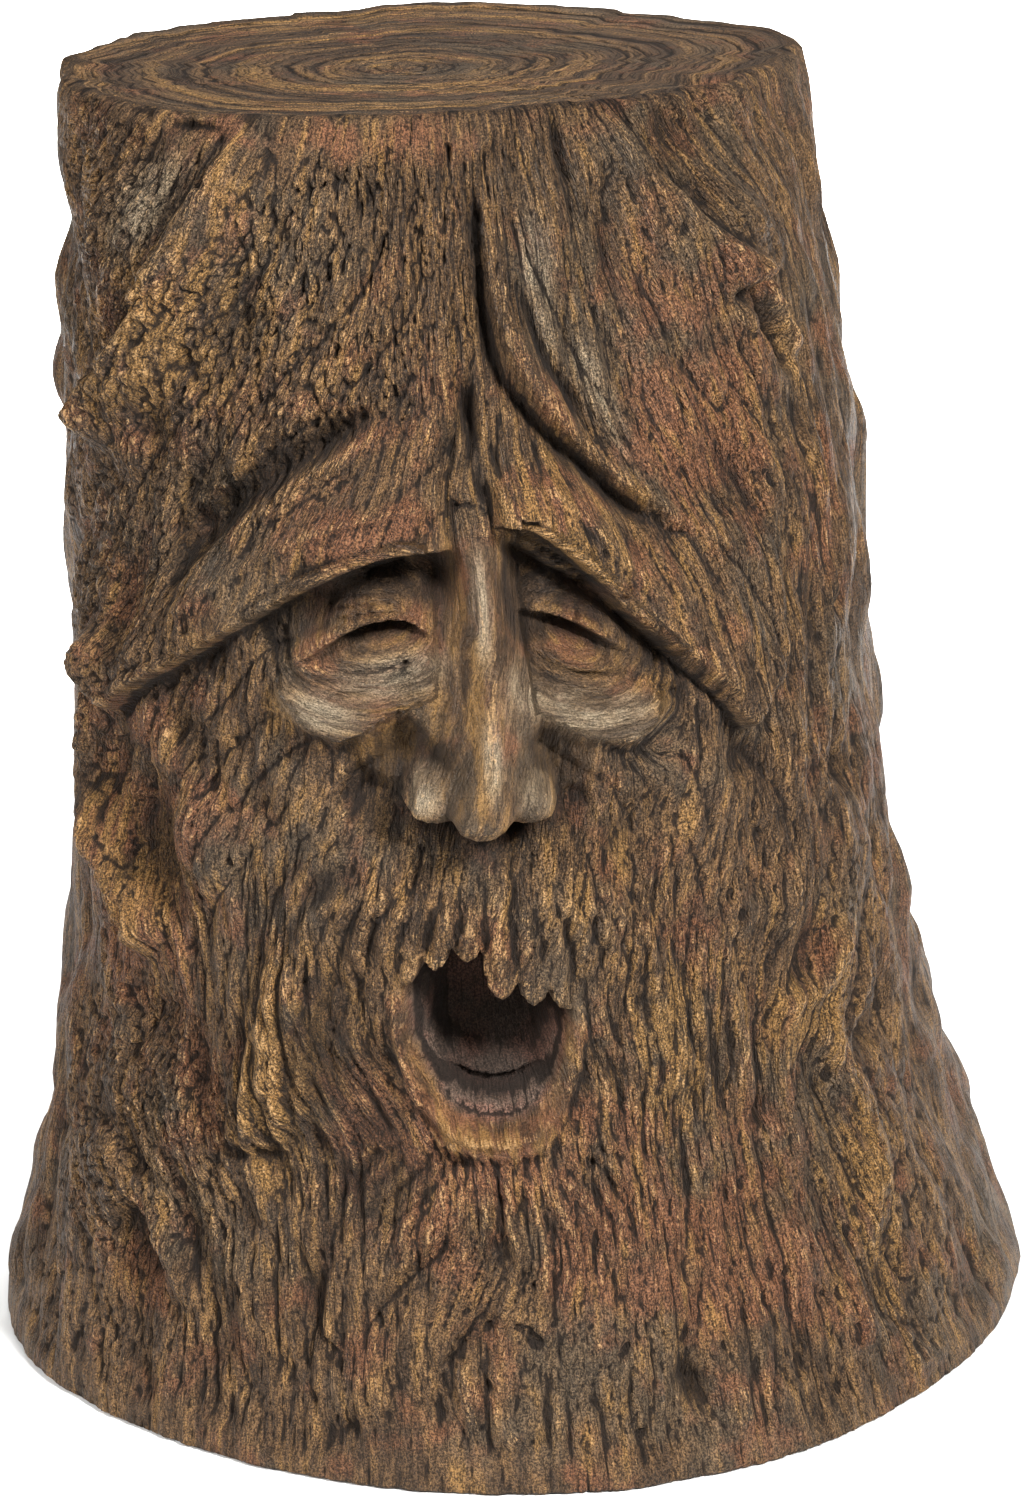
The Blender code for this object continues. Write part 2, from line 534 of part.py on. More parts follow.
def cast_material():
    """Dark brown cast skin with a satin face."""
    material = bpy.data.materials.new("bark_brown_cast")
    material.use_nodes = True
    shader = material.node_tree.nodes["Principled BSDF"]
    shader.inputs["Base Color"].default_value = (0.085, 0.050, 0.030, 1.0)
    shader.inputs["Roughness"].default_value = 0.55
    shader.inputs["Metallic"].default_value = 0.0
    return material


def main():
    for thing in list(bpy.data.objects):
        bpy.data.objects.remove(thing, do_unlink=True)
    collection = bpy.data.collections.new(NAME)
    bpy.context.scene.collection.children.link(collection)

    blank = turned_blank(collection)
    fine = evaluated_mesh(blank)
    bpy.data.objects.remove(blank, do_unlink=True)
    carve(fine)

    carved = bpy.data.objects.new("carved_blank", fine)
    collection.objects.link(carved)
    fine.calc_loop_triangles()
    reduce = carved.modifiers.new("Decimate", "DECIMATE")
    reduce.ratio = TRIANGLES / len(fine.loop_triangles)
    reduce.use_collapse_triangulate = True
    solid = evaluated_mesh(carved)
    bpy.data.objects.remove(carved, do_unlink=True)
    flatten_ends(solid)

    stump = bpy.data.objects.new(NAME, solid)
    collection.objects.link(stump)
    solid.name = NAME
    solid.materials.clear()
    solid.materials.append(cast_material())
    solid.shade_smooth()
    solid.set_sharp_from_angle(angle=math.radians(50.0))


main()
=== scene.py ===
"""Looks of the green man stump: a cast garden stump carved as a bearded tree face.

Metres, +Z up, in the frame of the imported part. The carving is laid out on the unrolled wall
of the stump, in shares of its height: there are 500 shares in the height, so one share is
about a millimetre. A place is (across, up): across is measured round the wall from the
middle of the front, at the GIRTH radius, and grows towards +X; up is measured from the floor.
Heights of the carving are in shares too.
"""
import math
from types import SimpleNamespace

import bpy
import numpy as np
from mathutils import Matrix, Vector


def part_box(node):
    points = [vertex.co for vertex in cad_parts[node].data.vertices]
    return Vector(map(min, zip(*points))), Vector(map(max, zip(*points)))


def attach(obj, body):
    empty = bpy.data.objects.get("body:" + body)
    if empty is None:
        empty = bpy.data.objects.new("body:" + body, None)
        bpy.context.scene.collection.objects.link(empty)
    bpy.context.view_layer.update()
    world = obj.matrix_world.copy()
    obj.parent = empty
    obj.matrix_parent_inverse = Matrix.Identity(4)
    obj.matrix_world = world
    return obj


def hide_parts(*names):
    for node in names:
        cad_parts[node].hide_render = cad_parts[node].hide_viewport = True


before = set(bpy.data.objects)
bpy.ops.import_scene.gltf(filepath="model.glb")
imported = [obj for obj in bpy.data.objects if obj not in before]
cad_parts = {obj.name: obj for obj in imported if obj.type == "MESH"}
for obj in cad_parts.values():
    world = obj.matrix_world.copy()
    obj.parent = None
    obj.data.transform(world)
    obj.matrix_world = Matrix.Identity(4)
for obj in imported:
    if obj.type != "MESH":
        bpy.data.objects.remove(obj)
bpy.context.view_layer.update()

NAME = "green_man_stump"
BOX_LOW, BOX_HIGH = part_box(NAME)
HEIGHT = BOX_HIGH.z - BOX_LOW.z
SHARES = 500.0
SHARE = HEIGHT / SHARES
GIRTH = 160.0
HALF_TURN = math.pi * GIRTH
SEED = 11

# Middles of the nose and of the mouth, the gap between locks, and the low edge of the right brow
FACE_MIDDLE = 3.0
MOUTH_MIDDLE = 0.8
LOCK_PITCH = 11.0
RIGHT_BROW_EDGE = ((14, 364), (30, 361), (44, 351), (55, 340), (65, 328), (77, 316), (90, 303), (104, 288),
                   (116, 273))

# How far a line is worked out past its route, in spreads and in shares
LINE_REACH = 2.6
ROUTE_SPARE = 8.0

# Depths and reaches of the carving, in shares
MOUTH_DEPTH = 40.0
NOSE_REACH = 31.0
BROW_REACH = 14.0
LOCK_DEPTH = 2.2
BARK_DEPTH = 2.4
FOLD_SHARE = 1.35
RIM_ROUND = 2.4
FOOT_ROUND = 2.0

# The grid that holds the carving, and the mesh made from it
PITCH = 1.0
COLUMNS = int(round(2 * HALF_TURN / PITCH))
ROWS = int(round(SHARES / PITCH)) + 1
FRONT_EDGE = 150.0
SIDE_EDGE = 235.0
BACK_BLUR = 1.7
BACK_CALM = 0.6
CAP_RINGS = 110
TRIANGLES = 198000

# Rubbed crests and painted shade follow the height over blurred copies of it: (weight, blur) for the crests
# and one blur for the broad hollows, each with the span of heights from dark to light
FINE_PAINT = ((0.6, 2.6), (1.1, 1.1))
FINE_RANGE = 2.4
BROAD_BLUR = 15.0
BROAD_RANGE = 14.0

# The ringed top in shares: its middle from the axis, the reach and the pitch of its rings, the share
# of its grain, and the heights between which its dull finish begins
RING_CENTRE = (-43.5, -11.4)
RING_REACH = 125.0
RING_PITCH = 7.0
TOP_GRAIN = 0.45
TOP_EDGE_LOW = 487.0
TOP_EDGE_HIGH = 494.0

# Grain that is bump and colour only, in metres
STRAND_WIDTH = 0.0024
THREAD_WIDTH = 0.0011
STREAK_WIDTH = 0.004
BUMP_DEPTH = 0.0017

# Colours of the cast, of the shade painted into its creases and hollows, and of the floor
DARK_BROWN = (0.052, 0.030, 0.016, 1.0)
WARM_BROWN = (0.150, 0.083, 0.037, 1.0)
GREY_BROWN = (0.088, 0.068, 0.044, 1.0)
RED_BROWN = (0.165, 0.066, 0.031, 1.0)
AMBER = (0.220, 0.118, 0.036, 1.0)
# silver-grey of the smooth planes, partly their grey paint and partly a painted sheen
SILVER_SHEEN = (0.290, 0.235, 0.160, 1.0)
MOUTH_BROWN = (0.100, 0.066, 0.048, 1.0)
MOUTH_RED = (0.170, 0.082, 0.056, 1.0)
RUBBED_CREST = (0.400, 0.240, 0.105, 1.0)
# painted shade for the creases and broad hollows
PAINTED_SHADE_COLOUR = (0.010, 0.006, 0.004, 1.0)
# painted shade for the creases between the small strands
CREASE_SHADE_COLOUR = (0.012, 0.008, 0.005, 1.0)
FLOOR_COLOUR = (0.84, 0.84, 0.83, 1.0)

# The camera of the photograph, in metres and degrees, and the floor
CAMERA_AWAY = 1.8
CAMERA_UP = 0.803
CAMERA_DIP = 17.817
CAMERA_LENS = 114.9
SENSOR_HEIGHT = 36.0
FLOOR_SIZE = 60.0
FLOOR_GAP = 0.0002

# Lamps as (name, place, aim, watts, size, spread in degrees), in metres, and the light of the world
MIDDLE = (0.0, 0.0, HEIGHT / 2)
LAMPS = (
    ("key", (1.0, -1.4, 1.5), MIDDLE, 98.0, 0.4, 180.0),
    ("fill", (-1.45, -1.25, 1.25), MIDDLE, 42.0, 0.5, 180.0),
    ("back", (0.2, 1.7, 1.6), MIDDLE, 6.0, 1.0, 180.0),
    ("floor_lamp", (0.0, 2.4, 2.2), (0.0, 2.4, 0.0), 260.0, 1.6, 95.0),
)
WORLD_LIGHT = 0.20

# The stump before carving: (up, radius) of the turned wall, and how far its top leans to -X
WALL = ((0, 211), (40, 199), (80, 185), (150, 169), (250, 157), (350, 155), (410, 152), (500, 140))
LEAN = -31.0

# Outlines of the floor and of the top as (degrees from the front towards +X, radius)
FLOOR_PLAN = ((-170, 190), (-150, 214), (-130, 196), (-108, 207), (-76, 209), (-60, 212), (-45, 204),
              (-22, 204), (5, 204), (28, 200), (52, 195), (75, 200), (90, 206), (103, 219),
              (122, 198), (142, 212), (165, 196))
TOP_PLAN = ((-176, 128), (-154, 114), (-130, 120), (-108, 131), (-86, 140), (-58, 149), (-46, 158),
            (-34, 150), (-21, 139), (-3, 126), (12, 120), (33, 117), (52, 122), (75, 125),
            (92, 138), (117, 149), (137, 129), (166, 134))
PLAN_BLUR = 9.0
FLOOR_FADE = 240.0
TOP_FADE = 190.0

# Way of the strands as (across, up, run across, run up), read between these places, and the square
# of the distance from its place within which each holds in full
STRAND_CORE = 60.0
STRANDS = (
    (-60, 475, -5, -10), (-20, 470, -3, -10), (12, 460, 0, -10), (36, 462, 3, -10), (80, 460, 1, -10),
    (-60, 420, -10, -9), (-24, 420, -8, -9), (8, 415, 1, -10), (30, 405, 6, -10), (70, 420, 2, -10),
    (-95, 385, -10, -10), (-50, 380, -10, -6), (-20, 388, -9, -7), (50, 380, 10, -10), (90, 350, 9, -9),
    (-110, 450, -8, -10), (-130, 345, -8, -10), (110, 470, 10, -9), (125, 400, 4, -10), (150, 450, 9, -7),
    (-55, 335, -9, -7), (-20, 328, -10, 1), (-45, 300, -10, -4), (-12, 296, -8, -6), (-90, 300, -7, -10),
    (36, 330, 10, -4), (60, 305, 9, -3), (34, 300, 8, -6), (56, 290, 10, -3), (100, 300, 6, -10),
    (-60, 290, -10, -6), (-30, 288, -10, -7), (-62, 304, -10, -4), (46, 292, 10, -7), (68, 284, 10, 4),
    (-38, 272, -8, -10), (-28, 255, -9, -9), (34, 274, 6, -10), (48, 258, 4, -10), (-30, 358, -10, -3),
    (-60, 345, -10, -5), (-90, 330, -10, -7), (-120, 305, -10, -8), (40, 362, 10, -7), (62, 340, 8, -10),
    (85, 315, 8, -10), (105, 292, 7, -10),
    (3, 300, 0, -10), (-12, 232, -5, -9), (3, 225, 0, -10), (18, 230, 3, -10), (-50, 228, -10, -8),
    (-72, 200, -7, -10), (-86, 160, -3, -10), (-84, 130, 3, -10), (-46, 180, -6, -10), (-44, 145, 1, -10),
    (48, 220, 4, -10), (60, 185, 4, -10), (46, 165, 7, -10), (66, 140, 2, -10), (90, 230, 1, -10),
    (0, 112, 0, -10), (-26, 104, -9, -10), (-22, 78, -7, -10), (28, 110, 4, -10), (48, 80, 2, -10),
    (-150, 250, -6, -10), (-150, 195, 9, -10), (-150, 150, -1, -10), (-140, 90, 8, -8), (-120, 60, 2, -10),
    (140, 165, 6, 6), (150, 110, 3, -10), (150, 300, 0, -10), (-200, 400, 0, -10), (-200, 200, 0, -10),
    (0, 30, 0, -10), (-80, 60, 0, -10), (90, 60, 0, -10), (200, 400, 0, -10), (200, 150, 0, -10),
    (-330, 400, 2, -10), (-330, 150, -2, -10), (330, 400, -2, -10), (330, 150, 2, -10),
    (-500, 250, 0, -10),
)


def smooth(low, high, value):
    """0 below low, 1 above high, and an even curve between."""
    t = np.clip((value - low) / (high - low), 0.0, 1.0)
    return t * t * (3.0 - 2.0 * t)


def around(difference):
    """A distance round the stump, taken the short way."""
    return (difference + HALF_TURN) % (2.0 * HALF_TURN) - HALF_TURN


def read_table(value, table, period=None):
    """Read a table of (place, size) rows, evenly between its places."""
    places, sizes = zip(*table)
    return np.interp(value, places, sizes, period=period)


def blurred(value, table, blur, period=None):
    """Read a table with its corners rounded off."""
    offsets = np.linspace(-blur, blur, 7)
    return sum(read_table(value + offset, table, period) for offset in offsets) / len(offsets)


def wall_radius(up):
    """Radius of the turned wall."""
    return blurred(np.clip(up, 0.0, SHARES), WALL, 12.0)


def stump_radius(across, up):
    """Radius of the uncarved stump, with the lobes of its floor and of its top."""
    degrees = np.degrees(across / GIRTH)
    floor_lobe = blurred(degrees, FLOOR_PLAN, PLAN_BLUR, 360.0) / WALL[0][1] - 1.0
    top_lobe = blurred(degrees, TOP_PLAN, PLAN_BLUR, 360.0) / WALL[-1][1] - 1.0
    near_floor = 1.0 - smooth(0.0, FLOOR_FADE, up)
    near_top = smooth(SHARES - TOP_FADE, SHARES, up)
    return wall_radius(up) * (1.0 + floor_lobe * near_floor + top_lobe * near_top)


def turned(side, rise, degrees):
    """How far a step (side, rise) goes along a way turned by degrees, and over it."""
    cosine = math.cos(math.radians(degrees))
    sine = math.sin(math.radians(degrees))
    return side * cosine + rise * sine, rise * cosine - side * sine


def mound(across, up, place, spread, height, turn=0.0):
    """A soft round swelling, or a hollow where height is below zero; turn is in degrees."""
    along, over = turned(around(across - place[0]), up - place[1], turn)
    along = along / spread[0]
    over = over / spread[1]
    return height * np.exp(-along * along - over * over)


def rounded(route, pieces=6):
    """A smooth curve through the points of a route."""
    points = np.array(route, dtype=float)
    padded = np.vstack([2 * points[0] - points[1], points, 2 * points[-1] - points[-2]])
    curve = []
    for index in range(1, len(padded) - 2):
        before, start, end, after = padded[index - 1:index + 3]
        for step in range(pieces):
            t = step / pieces
            curve.append(0.5 * (2 * start + (end - before) * t
                                + (2 * before - 5 * start + 4 * end - after) * t ** 2
                                + (3 * start - before - 3 * end + after) * t ** 3))
    curve.append(points[-1])
    return np.array(curve)


def line(across, up, route, widths, height, fade=0.15, powers=(2.0, 2.0)):
    """A ridge along a route, or a groove where height is below zero.

    widths are its spread on the left hand and on the right hand of someone who walks
    the route and sees the wall from outside; fade is the share of its length over
    which each end runs out; powers above 2 give that hand a flat face and a steep edge.
    """
    curve = rounded(route)
    reach = LINE_REACH * max(widths)
    near = np.abs(around(across - curve[:, 0].mean())) < np.ptp(curve[:, 0]) / 2 + reach + ROUTE_SPARE
    near &= (up > curve[:, 1].min() - reach) & (up < curve[:, 1].max() + reach)
    result = np.zeros_like(across)
    side = curve[:, 0].mean() + around(across[near] - curve[:, 0].mean())
    rise = up[near]
    best = np.full(side.shape, 1e9)
    signed = np.zeros_like(side)
    share = np.zeros_like(side)
    for index in range(len(curve) - 1):
        start = curve[index]
        run = curve[index + 1] - start
        length = math.hypot(run[0], run[1])
        t = np.clip(((side - start[0]) * run[0] + (rise - start[1]) * run[1]) / length ** 2, 0, 1)
        gap_side = side - start[0] - t * run[0]
        gap_rise = rise - start[1] - t * run[1]
        gap = np.hypot(gap_side, gap_rise)
        closer = gap < best
        best[closer] = gap[closer]
        left = run[0] * (rise - start[1]) - run[1] * (side - start[0]) > 0
        signed[closer] = np.where(left, gap, -gap)[closer]
        share[closer] = ((index + t) / (len(curve) - 1))[closer]
    spread = np.where(signed > 0, widths[0], widths[1])
    power = np.where(signed > 0, powers[0], powers[1])
    ends = smooth(-0.01, fade, share) * smooth(-0.01, fade, 1.0 - share)
    result[near] = height * ends * np.exp(-np.abs(signed / spread) ** power)
    return result


def carved(across, up, rows, start=0.0):
    """Ridges, grooves, mounds and hollows added up; rows are (shape, its place and sizes)."""
    total = start
    for shape, *values in rows:
        total = total + shape(across, up, *values)
    return total


def strand_direction(across, up):
    """Unit way of the strands at each place, as (run across, run up)."""
    turn_x = np.zeros_like(across)
    turn_y = np.zeros_like(across)
    for place_across, place_up, run_across, run_up in STRANDS:
        angle = 2.0 * math.atan2(run_up, run_across)
        gap = around(across - place_across) ** 2 + (up - place_up) ** 2
        weight = 1.0 / (gap + STRAND_CORE) ** 2
        turn_x += weight * math.cos(angle)
        turn_y += weight * math.sin(angle)
    angle = 0.5 * np.arctan2(turn_y, turn_x)
    return np.cos(angle), np.sin(angle)


def read_grid(grid, column, row):
    """Read a grid between its cells; it closes on itself round the stump."""
    rows, columns = grid.shape
    row = np.clip(row, 0.0, rows - 1.001)
    low_row = row.astype(int)
    low_column = np.floor(column).astype(int)
    part_row = row - low_row
    part_column = column - low_column
    left = low_column % columns
    right = (low_column + 1) % columns
    below = grid[low_row, left] * (1 - part_column) + grid[low_row, right] * part_column
    above = grid[low_row + 1, left] * (1 - part_column) + grid[low_row + 1, right] * part_column
    return below * (1 - part_row) + above * part_row


def strand_grid(cell, length, seed):
    """Even noise of one cell size, dragged along the strands for a length, on a grid."""
    pitch = 2.5
    columns = int(round(2 * HALF_TURN / pitch))
    rows = int(round(SHARES / pitch)) + 1
    random = np.random.default_rng(seed)
    coarse_columns = int(round(2 * HALF_TURN / cell))
    coarse = random.standard_normal((int(SHARES / cell) + 3, coarse_columns))
    column, row = np.meshgrid(np.arange(columns, dtype=float), np.arange(rows, dtype=float))
    start = read_grid(coarse, column * coarse_columns / columns, row * pitch / cell)
    across = column * 2 * HALF_TURN / columns - HALF_TURN
    run_across, run_up = strand_direction(across, row * pitch)
    total = start.copy()
    steps = int(length / pitch)
    for way in (1.0, -1.0):
        at_column = column.copy()
        at_row = row.copy()
        old_across = way * run_across
        old_up = way * run_up
        for step in range(steps):
            at_column = at_column + old_across
            at_row = at_row + old_up
            new_across = read_grid(run_across, at_column, at_row)
            new_up = read_grid(run_up, at_column, at_row)
            flip = np.where(new_across * old_across + new_up * old_up < 0, -1.0, 1.0)
            old_across = new_across * flip
            old_up = new_up * flip
            fade = 0.5 + 0.5 * math.cos(math.pi * (step + 1) / (steps + 1))
            total += fade * read_grid(start, at_column, at_row)
    total -= total.mean()
    return total / total.std()


def strands(across, up, cell, length, seed):
    """Rounded strands with sharp creases between them, from -1.9 in a crease to 0.3 on a crest."""
    grid = strand_grid(cell, length, seed)
    column = (across + HALF_TURN) / (2 * HALF_TURN) * grid.shape[1]
    row = up / SHARES * (grid.shape[0] - 1)
    noise = read_grid(grid, column, row)
    return np.minimum(1.5 * np.sqrt(np.abs(noise)) - 1.9, 0.3)


def nose(across, up):
    """Long nose with a narrow ridge, a round ball, two wings and cut nostrils."""
    middles = ((240, 3.0), (254, 3.5), (268, 6.5), (285, 8.5), (310, 9.5), (335, 9.5), (360, 8.5))
    heights = ((241.5, 0.0), (245.5, 0.42), (249.5, 0.80), (254, 0.99), (259, 1.0), (268, 0.93),
               (280, 0.82), (300, 0.66), (320, 0.50), (338, 0.35), (352, 0.18), (368, 0.0))
    top_widths = ((242, 6.5), (250, 7.5), (258, 6.0), (266, 3.4), (276, 1.6), (300, 1.2), (345, 2.5))
    foot_widths = ((242, 12), (252, 15), (262, 18), (272, 19), (285, 18), (300, 16), (320, 14), (345, 12),
                   (365, 13))
    side = around(across - blurred(up, middles, 4.0))
    top_width = blurred(up, top_widths, 4.0)
    foot_width = blurred(up, foot_widths, 4.0)
    fall = np.clip((np.abs(side) - top_width) / (foot_width - top_width), 0.0, 1.0)
    section = 1.0 - 0.9 * fall - 0.1 * smooth(0.0, 1.0, fall)
    from_ball = np.abs(around(across - FACE_MIDDLE))
    lifted = up - 5.5 * np.minimum(from_ball / 10.0, 1.5) ** 2 * smooth(264.0, 250.0, up)
    result = carved(across, up, (
        (mound, (FACE_MIDDLE, 255), (8.5, 9.5), 4.5),
        (mound, (-11, 292), (9, 22), 5),
        (mound, (24, 290), (9, 22), 5),
    ), NOSE_REACH * blurred(lifted, heights, 2) * section)
    under = smooth(-1.2, 1.6, up - 246.0 - 0.42 * np.maximum(from_ball - 8.0, 0.0))
    for hand in (-1.0, 1.0):
        wide = around(across - FACE_MIDDLE - hand * (17.0 - 0.3 * (up - 256.0))) / 12.0
        tall = (up - 259.0) / 11.5
        plump = 19.5 * np.exp(-(wide ** 2 + tall ** 2) ** 1.6)
        result = (np.maximum(result, 0.0) ** 3 + (plump * under) ** 3) ** (1.0 / 3.0)
    grooves = (
        (((17, 276), (12.5, 265), (10, 253)), 2.6, -1.2, 0.35),
        (((7, 242.5), (15, 245.5), (25, 250)), 3.2, -12.0, 0.3),
        (((28, 252), (30, 261), (26, 272), (19, 280)), 2.4, -3.0, 0.3),
    )
    for hand in (-1.0, 1.0):
        for places, width, depth, fade in grooves:
            route = [(FACE_MIDDLE + hand * out, rise) for out, rise in places]
            result += line(across, up, route, (width, width), depth, fade)
    return result


def brows(across, up):
    """Two hanging ledges of bark over the eyes, each with a light edge along its top."""
    left_edge = ((0, 354), (-18, 353), (-40, 346), (-60, 336), (-80, 324), (-100, 312), (-120, 300),
                 (-146, 284), (-166, 270))
    left = carved(across, up, (
        (line, left_edge, (5.5, 26), BROW_REACH, 0.05, (8, 1.6)),
        (line, ((-8, 366), (-22, 364), (-40, 359), (-60, 350), (-80, 339), (-100, 325), (-120, 310)),
         (2, 3), 3),
        (line, ((-4, 350), (-18, 349), (-40, 342), (-60, 332), (-80, 320)), (1.5, 2), 1.6),
    ))
    right = carved(across, up, (
        (line, RIGHT_BROW_EDGE, (26, 5.5), BROW_REACH, 0.06, (1.6, 8)),
        (line, ((22, 373), (38, 370), (50, 358), (58, 347), (70, 333), (84, 317)), (3.6, 2.2), 3.2, 0.2),
    ))
    return carved(across, up, (
        (mound, (-14, 374), (12, 9), 3.5),
        (mound, (40, 366), (13, 8), 4, -25),
    ), left + right)


def eyes(across, up):
    """Sunk sockets, each with a heavy upper lid that hangs over a nearly closed eye."""
    result = carved(across, up, (
        (mound, (-38, 326), (33, 17), -14, 12),
        (mound, (-12, 338), (9, 8), -13),
        (mound, (-57, 324), (10, 9), -8, 35),
        (line, ((-68, 303), (-57, 309), (-46, 316), (-34, 321.5), (-22, 322.5), (-8, 316)), (14, 1.5),
         13, 0.38, (2.2, 3)),
        (mound, (-36, 330), (20, 8), 3.5, 10),
        (line, ((-64, 314), (-56, 323), (-44, 332), (-30, 338.5), (-6, 342)), (2.2, 2.2), -4, 0.35),
        (line, ((-46, 312), (-35, 317.5), (-24, 319.5), (-9, 314)), (1.5, 2), -5, 0.35),
        (line, ((-62, 299), (-48, 306), (-32, 311.5), (-10, 308)), (4.6, 5), 5, 0.4),
        (line, ((-70, 300), (-56, 298), (-36, 301.5), (-6, 310)), (1.6, 2), -1.1, 0.35),
        (line, ((-64, 293), (-46, 293), (-18, 303)), (1.6, 1.6), -0.5, 0.4),
    ))
    for number in range(5):
        rise = 3.3 * number
        route = ((-66 + 3 * number, 309 + rise), (-48, 320 + rise), (-28, 325 + rise),
                 (-10 - number, 320 + rise))
        result += line(across, up, route, (1.2, 1.2), -2.4, 0.35)
    result = carved(across, up, (
        (mound, (48, 321), (35, 16), -14, -22),
        (mound, (22, 338), (7, 8), -5),
        (line, ((16, 326), (30, 325.5), (44, 320), (56, 313), (72, 303)), (11, 1.5), 9, 0.3,
         (2.2, 3)),
        (line, ((28, 322), (42, 317.5), (60, 308)), (1.7, 2.2), -5, 0.35),
        (line, ((22, 318), (34, 312), (46, 308), (64, 303)), (5, 5), 5, 0.35),
        (line, ((19, 319), (29, 308), (42, 301.5), (54, 299.5), (72, 303)), (1.5, 1.5), -3, 0.3),
        (line, ((22, 311), (33, 301), (48, 295), (66, 297)), (1.5, 1.5), -1.6, 0.35),
    ), result)
    for number in range(4):
        rise = 3.3 * number
        route = ((22 + number, 329 + rise), (42, 325 + rise), (64 - 2 * number, 312 + rise))
        result += line(across, up, route, (1.2, 1.2), -2.2, 0.35)
    under_brow = ((16, 351), (28, 343), (40, 336), (52, 329), (62, 321), (72, 313), (83, 304), (94, 293),
                  (106, 280))
    return result + line(across, up, under_brow, (2.4, 2.4), -9.0, 0.08)


def cheeks(across, up):
    """Flat planes under the eyes, each ending in a low edge over a hollow beside the nose."""
    result = carved(across, up, (
        (line, ((-78, 320), (-74, 304), (-67, 291), (-58, 281), (-48, 277), (-38, 282), (-26, 289),
         (-8, 298)), (22, 4.2), 6, 0.3, (1.3, 2)),
        (line, ((10, 302), (21, 295), (34, 286), (48, 279), (61, 276), (70, 283), (77, 294), (84, 306)),
         (21, 4.2), 6, 0.3, (1.3, 2)),
        (line, ((-16, 286), (-28, 275), (-39, 261), (-49, 245)), (11, 9), -6.5),
        (line, ((22, 284), (31, 272), (36, 260), (40, 246)), (7, 8), -4.5),
    ))
    for number in range(5):
        drop = 5.5 * number
        lines = (
            ((-12 - drop, 287 - 0.8 * drop), (-26 - drop, 273 - 0.6 * drop),
             (-38 - 0.6 * drop, 255 - 0.4 * drop), 1.2, -1.4, 0.35),
            ((24 + 0.8 * drop, 280 - 0.6 * drop), (36 + 0.8 * drop, 268 - 0.5 * drop),
             (47 + 0.6 * drop, 252 - 0.4 * drop), 1.2, -1.4, 0.35),
            ((-70 + drop, 300 - 0.4 * drop), (-50 + drop, 292 + 0.3 * drop),
             (-24 + 0.6 * drop, 299 + 0.8 * drop), 1.3, -0.8, 0.4),
            ((76 - drop, 300 - 0.4 * drop), (56 - drop, 290 + 0.3 * drop),
             (30 - 0.5 * drop, 299 + 0.8 * drop), 1.3, -0.8, 0.4),
        )
        for *route, width, depth, fade in lines:
            result += line(across, up, route, (width, width), depth, fade)
    return result


def lock_middle(number):
    """Where a lock of the moustache hangs; number counts from the parting."""
    return -5.0 + LOCK_PITCH * number


def lock_tip(number):
    """How low a lock of the moustache hangs: short over the mouth, long beside it."""
    return read_table(number, ((-6, 182), (-3, 185), (-2, 189), (-1, 196), (0, 199), (1, 185), (2, 182),
                               (3, 179), (6, 178)))


def mouth_edge(across, up):
    """How far inside the mouth opening a place is; below zero outside it."""
    side = around(across - MOUTH_MIDDLE)
    half_width = 28.8 - 6.0 * smooth(176.0, 140.0, up)
    reach = np.abs(side / half_width) ** 2.3 + np.abs(np.minimum(up - 163.0, 0.0) / 27.5) ** 2.3
    lip_gap = 24.0 * (1.0 - reach ** (1.0 / 2.3))
    number = np.round((around(across) - lock_middle(0)) / LOCK_PITCH)
    from_lock = (around(across) - lock_middle(number)) / LOCK_PITCH
    tip = lock_tip(number) + 9.0 * (1.0 - np.abs(np.cos(math.pi * from_lock)) ** 0.5)
    return np.minimum(lip_gap, 1.4 * (tip - up))


def mouth(across, up, skin):
    """Wide open mouth with a thin lip, a thick lower lip, a row of teeth and a tongue."""
    edge = mouth_edge(across, up)
    side = around(across - MOUTH_MIDDLE)
    lip_route = ((-31, 188), (-30.5, 170), (-28, 154), (-22.5, 142), (-11, 133), (0, 131), (12, 133),
                 (24, 142), (29.5, 154), (32, 170), (32.5, 188))
    skin = skin + carved(across, up, (
        (line, lip_route, (2, 2.4), 4.5, 0.12, (2, 2.6)),
        (line, ((-22, 138), (-14, 130), (-6, 127.5), (6, 127.5), (15, 130), (22, 138)), (5, 4.5), 5, 0.2,
         (2, 2.6)),
        (mound, (-1, 126), (2.5, 5), -1.8),
    ))
    rise = up - 8.0 * np.abs(side / 20.0) ** 2.2
    levels = ((128, 0), (132.5, -1), (134.5, -11), (136.4, -17), (137.2, -11), (140, -10.5), (141, -18),
              (143.4, -22), (145.4, -22), (147, -18), (149, -20), (156, -28), (164, -30), (168, -32),
              (176, -34), (210, -37))
    depth_of_levels = 40.0
    floor_level = MOUTH_DEPTH / depth_of_levels * blurred(rise, levels, 0.4)
    gaps = np.exp(-((np.abs((side / 4.6) % 1.0 - 0.5) / 0.15) ** 2)) * smooth(136.8, 137.6, rise)
    floor_level -= 4.5 * gaps * smooth(141.4, 140.4, rise) * smooth(22.0, 18.0, np.abs(side))
    beside = smooth(18.5, 22.5, np.abs(side)) * smooth(137.0, 139.0, rise)
    floor_level += beside * (np.minimum(floor_level, -22.0) - floor_level)
    cut = 0.40 * smooth(0.0, 1.2, edge) + 0.60 * smooth(0.3, 7.5, edge)
    return skin + cut * (floor_level - skin)


